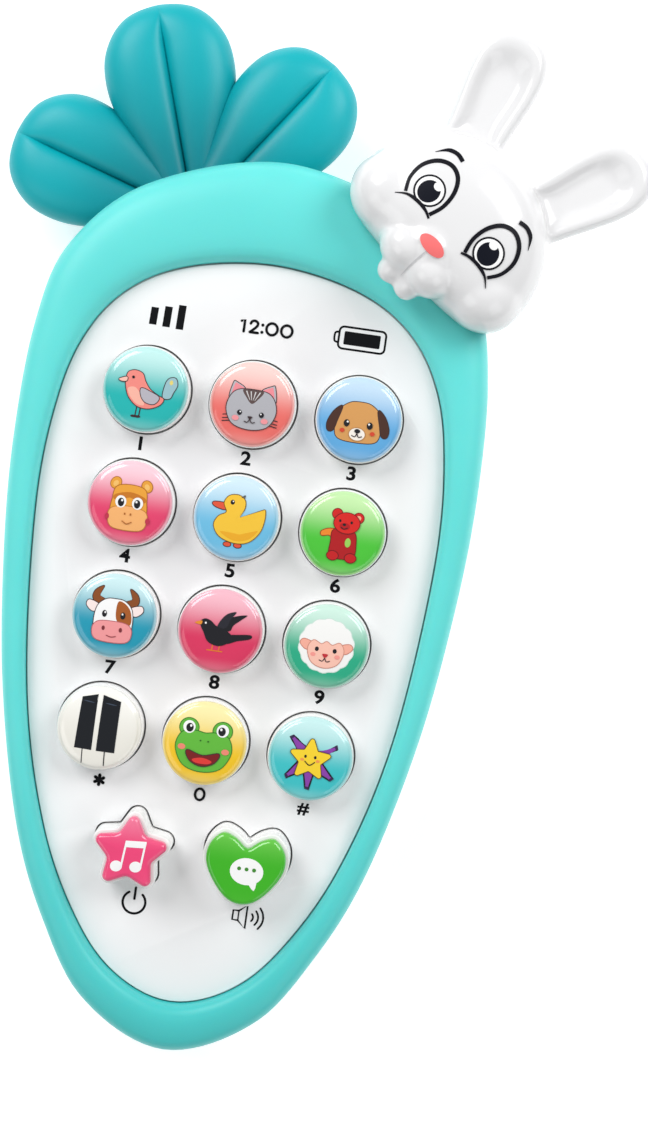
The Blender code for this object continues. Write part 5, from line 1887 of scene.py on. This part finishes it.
@dataclass
class RabbitHead:
    """The glossy rabbit's head: skull, cheeks, muzzle, ears and the printed face."""

    centre: Point = (29.91, 69.46)
    turn: float = -38.4
    back: float = 7.0
    around: int = 120
    voxel: float = 0.42
    # Half of the face's outline from the chin up, in millimetres from the centre.
    outline: Table = (
        (0.0, -11.2), (5.0, -11.3), (10.0, -11.0), (14.4, -10.2), (17.4, -7.9), (18.6, -4.2), (18.2, 0.4),
        (16.4, 5.2), (13.2, 9.4), (8.6, 12.7), (4.0, 14.3), (0.0, 14.7),
    )
    # Half of an ear from its root up, as (half width, height).
    ear: Table = (
        (5.0, -5.0), (5.3, 0.0), (5.7, 4.0), (6.2, 8.5), (6.5, 12.5), (6.2, 16.3), (4.8, 19.3), (2.6, 20.8),
        (0.0, 21.3),
    )
    ear_space: float = 8.3
    ear_base: float = 11.5
    ear_spread: float = 19.0
    ear_thick: float = 3.2
    ear_bowl: float = 2.9
    # What swells out of the skull: a place on the face, a height over the parting plane or, when it
    # is negative, below the top, and half sizes across, up and deep.
    swells: tuple[tuple[Point, float, tuple[float, float, float]], ...] = (
        ((-11.6, -4.2), 3.0, (7.0, 6.6, 6.6)),
        ((11.6, -4.2), 3.0, (7.0, 6.6, 6.6)),
        ((0.0, -5.6), -4.6, (5.8, 4.4, 4.8)),
        ((-3.1, -8.6), -5.4, (4.7, 4.2, 5.0)),
        ((2.9, -8.7), -5.4, (4.7, 4.2, 5.0)),
        ((-2.1, -13.2), 4.0, (2.3, 2.1, 3.0)),
        ((1.9, -13.2), 4.0, (2.3, 2.1, 3.0)),
        ((0.0, -11.0), 3.2, (5.0, 3.0, 4.4)),
    )

    def __post_init__(self) -> None:
        """Reads the heights from the CAD model."""
        low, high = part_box("head_front_shell")
        self.split, self.top = low.z / MM, high.z / MM

    def place(self, across: float, up: float) -> Point:
        """A point of the face in the phone's frame."""
        return placed([(across, up)], self.centre, self.turn)[0]

    def build(self, handset: Handset) -> None:
        """Makes both shells and prints the face.

        Args:
            handset: The body that the head fits against.
        """
        front = self._solid()
        rear = front.copy()
        rear.data = front.data.copy()
        bpy.context.scene.collection.objects.link(rear)
        self._halve(front, keep_above=True)
        self._halve(rear, keep_above=False)
        seat = prism("seat", grown(handset.body, handset.gap), -1.0, self.split + 0.001)
        carve(rear, seat)
        front.name, rear.name = "head_front", "head_back"
        shade(front, 60.0)
        shade(rear, 60.0)
        dress(front, Finishes.HEAD, "housing", "head_white", ["head_front_shell"])
        dress(rear, Finishes.HEAD, "housing", "head_white", ["head_back_shell"])
        self._print(front)

    def _solid(self) -> bpy.types.Object:
        """Joins skull, cheeks, muzzle and ears, and melts them into one smooth form.

        Returns:
            The whole head.
        """
        pieces = [self._skull()]
        pieces += [self._ear(side) for side in (-1, 1)]
        for at, height, (across, up, deep) in self.swells:
            height = height if height > 0 else self.top - self.split + height
            place = self.place(*at)
            spot = (place[0] * MM, place[1] * MM, (self.split + height) * MM)
            bpy.ops.mesh.primitive_uv_sphere_add(segments=64, ring_count=40, radius=1, location=spot)
            ball = bpy.context.object
            ball.scale = (across * MM, up * MM, deep * MM)
            ball.rotation_euler.z = math.radians(self.turn)
            pieces.append(settle(ball))
        head = merged("head_solid", pieces)
        modify(head, "REMESH", mode="VOXEL", voxel_size=self.voxel * MM)
        modify(head, "SMOOTH", factor=0.5, iterations=15)
        return head

    def _skull(self) -> bpy.types.Object:
        """The skull: domed in front, tapering to a flat back.

        Returns:
            The skull.
        """
        outline = at_bearings(curve_through(mirrored(self.outline), 10), self.around)
        depth = self.top - self.split - 0.4
        profile: list[Point] = [(0.0, self.back), (0.4, self.back), (0.66, self.back)]
        for turn in range(10, 91, 10):
            slope = math.radians(turn)
            share = 0.66 + 0.34 * math.sin(slope) ** 0.8
            profile.append((share, self.back + (self.split - self.back) * (1 - math.cos(slope)) ** 0.9))
        for turn in range(6, 91, 6):
            slope = math.radians(turn)
            share = math.cos(slope) ** 0.8
            profile.append((share, self.split + depth * math.sin(slope) ** 0.8))
        loops: list[Loop] = []
        for share, height in profile:
            ring = [self.place(spot.x * share, spot.y * share) for spot in outline]
            loops.append([Vector((x, y, height)) for x, y in ring])
        return loft("skull", loops)

    def _ear(self, side: int) -> bpy.types.Object:
        """One ear: a rounded rim round a hollow that fades into the skull.

        Args:
            side: -1 for the left ear, 1 for the right.

        Returns:
            The ear.
        """
        outline = [Vector(point) for point in curve_through(mirrored(self.ear), 8)]
        centre = Vector((0.0, 9.0))
        shares = [math.sin(math.radians(turn)) for turn in range(0, 91, 6)]
        loops: list[Loop] = []

        def ring(share: float, height: float) -> Loop:
            """The ear's outline shrunk towards its middle, at a height.

            Args:
                share: How much of its size is left.
                height: Where it lies.

            Returns:
                The loop.
            """
            spots: Loop = []
            for point in outline:
                flat = centre.lerp(point, share)
                root = (side * self.ear_space, self.ear_base)
                x, y = self.place(*placed([tuple(flat)], root, -side * self.ear_spread)[0])
                spots.append(Vector((x, y, height)))
            return spots

        for share in shares:
            loops.append(ring(share, self.split - self.ear_thick * math.sqrt(max(0.0, 1 - share**2.6))))
        for share in reversed(shares):
            rim = self.ear_thick * 1.12 * max(0.0, 1 - share**3.2) ** 0.5
            bowl = self.ear_bowl * (1 - smoothstep(0.34, 0.86, share))
            loops.append(ring(share, self.split + rim - bowl))
        return loft(f"ear_{side}", loops)

    def _halve(self, half: bpy.types.Object, keep_above: bool) -> None:
        """Keeps what lies on one side of the parting plane and closes the cut.

        Args:
            half: The whole head, to be cut.
            keep_above: Whether the upper side is kept.
        """
        height = self.split if keep_above else self.split - 0.25
        with editing(half):
            bpy.ops.mesh.bisect(
                plane_co=(0, 0, height * MM),
                plane_no=(0, 0, 1),
                use_fill=True,
                clear_inner=keep_above,
                clear_outer=not keep_above,
            )
            bpy.ops.mesh.select_all(action="SELECT")
            bpy.ops.mesh.normals_make_consistent(inside=False)

    def _print(self, front: bpy.types.Object) -> None:
        """Prints the eyes, lids, brows and the nose on the front shell, and paints shade along the muzzle's
        crease.

        Args:
            front: The front shell.
        """
        tree = BVHTree.FromObject(front, bpy.context.evaluated_depsgraph_get())

        def on_face(across: float, up: float) -> Vector:
            """Where a point of the face lies on the shell.

            Args:
                across: The point's place across the face.
                up: Its place up the face.

            Returns:
                The place, in millimetres.
            """
            x, y = self.place(across, up)
            spot = tree.ray_cast(Vector((x * MM, y * MM, 1.0)), Vector((0, 0, -1)))[0]
            return (spot or Vector((x * MM, y * MM, self.split * MM))) / MM

        art = Sticker("printed_face", on_face, lift=0.02, step=0.012)
        navy = 0x10131F
        # The printed face's middle line, a little to the right of the head's own.
        middle = 0.35
        eye = [(4.3, -2.5), (3.65, 0.1), (4.05, 3.0), (5.5, 5.2), (7.7, 5.9), (9.9, 4.8), (11.2, 2.4)]
        eye += [(11.1, -0.4), (9.9, -2.6)]
        lid = [(3.9, -3.0), (5.3, -2.45), (7.3, -2.3), (9.4, -2.75), (11.0, -4.0)]
        brow = [(6.9, 7.7), (8.4, 8.0), (10.0, 7.4), (11.3, 5.6)]
        for side in SIDES:
            x, y = middle + side * 7.15, 0.3
            art.disc((x, y), 2.75, 2.75, BLACK)
            art.disc((x, y), 2.42, 2.42, WHITE)
            art.disc((x, y - 0.15), 1.85, 2.0, navy, turn=side * 12)
            art.disc((x + 0.55 * (1 if side < 0 else -0.7), y + 1.5), 0.8, 0.72, WHITE)
            art.stroke(sided(eye, side, middle), 0.76, BLACK, (0.85, 0.75))
            art.stroke(sided(lid, side, middle), 0.62, BLACK, (0.6, 0.22))
            art.stroke(sided(brow, side, middle), 0.74, BLACK, (1.0, 0.12))
        # Painted shade: a light grey line down the crease between the muzzle's two lobes.
        art.stroke([(0.1, -6.9), (-0.1, -9.6), (-0.1, -12.6)], 0.26, 0xCFCFD1, (0.6, 0.3))
        art.patch(ellipse((0.1, -5.7), 2.55, 1.3), 0xF87878)
        dress(art.build(), Finishes.HEAD_PRINT_AND_SHADE, "housing", "head_white")


@dataclass
class Insides:
    """What the CAD model already shapes well: merged, smoothed copies with their own finishes."""

    # The membrane's sheet, and how much of a dome's height is left when its key is down.
    sheet: float = 0.55
    flattened: float = 0.3
    plan: tuple[tuple[str, Moulding | PlatedSteel | CellWrap, str], ...] = (
        ("rear_shell", Finishes.REAR, "rear_white"),
        ("battery_door", Finishes.REAR, "rear_white"),
        ("circuit_board", Finishes.BOARD, "board_green"),
        ("speaker_frame", Finishes.BASKET, "speaker_steel"),
        ("speaker_cone", Finishes.CONE, "speaker_cone"),
        ("battery_spring_1", Finishes.CONTACT, "contact_steel"),
        ("battery_spring_2", Finishes.CONTACT, "contact_steel"),
        ("spring_plate", Finishes.CONTACT, "contact_steel"),
        ("contact_plate", Finishes.CONTACT, "contact_steel"),
        ("battery_lead", Finishes.RED_WIRE, "lead_red"),
        ("speaker_lead", Finishes.BLACK_WIRE, "lead_black"),
    )

    def build(self, frame: dict) -> None:
        """Copies every node that isn't remade elsewhere.

        Args:
            frame: The CAD model, with its nodes and bodies.
        """
        riders = frame["record"]["behaviour"]["bodies"]
        bodies = {node: body for body, nodes in riders.items() for node in nodes}
        for name, finish, slot in self.plan:
            self._copy(frame["nodes"][name], name, finish, bodies[name], slot)
        for name in sorted(frame["nodes"]):
            if "screw" in name:
                self._copy(frame["nodes"][name], name, Finishes.SCREW, bodies[name], "screw_steel")
            if name.startswith("battery_cell"):
                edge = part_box(name)[1].y / MM - 12.0
                wrap = CellWrap("cell_wrap", 0x1E2F5C, 0xC98A4B, edge)
                self._copy(frame["nodes"][name], name, wrap, bodies[name], "cell_wrap")
        self._membrane(frame["nodes"]["keypad_membrane"])

    def _membrane(self, node: bpy.types.Object) -> None:
        """The keypad's sheet, and a dome under each key.

        Args:
            node: The CAD model's membrane.
        """
        low, high = (corner.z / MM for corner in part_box("keypad_membrane"))
        sheet = bpy.data.objects.new("membrane_sheet", node.data.copy())
        bpy.context.scene.collection.objects.link(sheet)
        with editing(sheet):
            bpy.ops.mesh.remove_doubles(threshold=1e-6)
            cut = (0, 0, (low + self.sheet) * MM)
            bpy.ops.mesh.bisect(plane_co=cut, plane_no=(0, 0, 1), use_fill=True, clear_outer=True)
        shade(sheet, 34.0)
        dress(sheet, Finishes.SHEET, "housing", "membrane_silicone", ["keypad_membrane"])
        top = low + self.sheet
        profile = [(4.2, low + 0.3), (4.2, top), (3.2, top + 0.3), (2.9, high - 0.25)]
        profile += [(2.6, high), (1.2, high)]
        plungers = [(f"key_{key.name}", key.at()) for key in KEYS]
        plungers += [(f"{button.name}_button", button.at()) for button in BUTTONS]
        for body, at in plungers:
            dome = lathe(f"membrane_dome_{body}", profile, at, 48)
            shade(dome, 50.0)
            dress(dome, Finishes.SHEET, "housing", "membrane_silicone", ["keypad_membrane"])
            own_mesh(dome)

    def _copy(
        self,
        node: bpy.types.Object,
        name: str,
        finish: Moulding | PlatedSteel | CellWrap,
        body: str,
        slot: str,
    ) -> None:
        """One merged copy of a node, smooth between its sharp edges.

        Args:
            node: The CAD model's piece.
            name: Its name.
            finish: What it is made of.
            body: The moving body that it rides on.
            slot: The record's material slot.
        """
        copy = bpy.data.objects.new(f"{name}_skin", node.data.copy())
        bpy.context.scene.collection.objects.link(copy)
        with editing(copy):
            bpy.ops.mesh.remove_doubles(threshold=1e-6)
        shade(copy, 34.0)
        # Large flat faces set the normals of the rounds beside them, so the flats stay evenly lit.
        modify(copy, "WEIGHTED_NORMAL", keep_sharp=True, weight=100)
        dress(copy, finish, body, slot, [name])


@dataclass
class Studio:
    """A pale floor, soft lamps and the camera."""

    eye: tuple[float, float, float] = (21.2, 33.1, 422.0)
    target: tuple[float, float, float] = (16.2, 7.9, 22.8)
    up: tuple[float, float, float] = (-0.1418, 0.9899, 0.0)
    lens: float = 72.5
    sky: float = 0.3
    # Each lamp: name, place in metres, the side of its square, and its power in watts.
    lamps: tuple[tuple[str, tuple[float, float, float], float, float], ...] = (
        ("upper_left", (-0.6, 0.62, 0.72), 0.6, 6.9),
        ("upper_right", (0.7, 0.64, 0.74), 0.6, 6.6),
        ("low_left", (-0.75, -0.55, 0.8), 0.7, 2.1),
        ("low_right", (0.7, -0.7, 0.75), 0.7, 1.9),
    )
    # What the lamps are aimed at, in metres.
    aim: tuple[float, float, float] = (0.01, 0.01, 0.0)

    def build(self) -> None:
        """Sets the floor, the lamps, the sky and the camera."""
        scene = bpy.context.scene
        scene.view_settings.view_transform = "Standard"
        self._floor()
        for lamp in self.lamps:
            self._lamp(*lamp)
        world = bpy.data.worlds.new("sky")
        scene.world = world
        world.use_nodes = True
        background = world.node_tree.nodes["Background"]
        background.inputs["Color"].default_value = (1, 1, 1, 1)
        background.inputs["Strength"].default_value = self.sky
        self._camera()

    def _floor(self) -> None:
        """A wide sheet of matt white card, faintly mottled."""
        bpy.ops.mesh.primitive_plane_add(size=4.0, location=(0, 0, -0.0002))
        floor = fresh("floor")
        material, tree = blank("floor_card")
        place = add_node(tree, "ShaderNodeTexCoord").outputs["Object"]
        scale = 1 / (1.2 * MM)
        fibres = add_node(tree, "ShaderNodeTexNoise", {"Vector": place, "Scale": scale, "Detail": 3.0})
        shader = add_node(
            tree,
            "ShaderNodeBsdfPrincipled",
            {
                "Base Color": linear(0xE8E8E8),
                "Roughness": 0.8,
                "Emission Color": (1, 1, 1, 1),
                "Emission Strength": 0.5,
            },
        )
        bump = add_node(
            tree,
            "ShaderNodeBump",
            {"Height": fibres.outputs["Fac"], "Distance": 0.01 * MM},
        )
        tree.links.new(bump.outputs["Normal"], shader.inputs["Normal"])
        add_node(tree, "ShaderNodeOutputMaterial", {"Surface": shader.outputs["BSDF"]})
        floor.data.materials.append(material)
        floor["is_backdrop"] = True

    def _lamp(self, name: str, at: tuple[float, float, float], size: float, power: float) -> None:
        """A square soft box aimed at the phone.

        Args:
            name: What it is called.
            at: Where it hangs, in metres.
            size: The side of its square, in metres.
            power: Its power in watts.
        """
        bpy.ops.object.light_add(type="AREA", location=at)
        lamp = bpy.context.object
        lamp.name = name
        lamp.data.size = size
        lamp.data.energy = power
        lamp.rotation_euler = (Vector(self.aim) - Vector(at)).to_track_quat("-Z", "Y").to_euler()

    def _camera(self) -> None:
        """A long lens almost straight above the face."""
        data = bpy.data.cameras.new("camera")
        data.lens = self.lens
        data.sensor_width = 36.0
        data.clip_start = 0.01
        camera = bpy.data.objects.new("camera", data)
        bpy.context.scene.collection.objects.link(camera)
        back = (Vector(self.eye) - Vector(self.target)).normalized()
        right = Vector(self.up).cross(back).normalized()
        above = back.cross(right)
        turn = Matrix((right, above, back)).transposed()
        camera.matrix_world = Matrix.Translation(Vector(self.eye) * MM) @ turn.to_4x4()
        bpy.context.scene.camera = camera


def corners() -> list[list[float]]:
    """The whole object's box as plain lists."""
    return [list(corner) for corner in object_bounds()]


def main() -> None:
    """Builds the phone sub-assembly by sub-assembly."""
    logging.basicConfig(level=logging.INFO, format="%(name)s %(message)s")
    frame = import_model()
    handset = Handset()
    handset.build()
    for key in KEYS:
        key.build()
    for button in BUTTONS:
        button.build()
    LeafTuft().build(handset)
    RabbitHead().build(handset)
    Insides().build(frame)
    Studio().build()


if __name__ == "__main__":
    main()
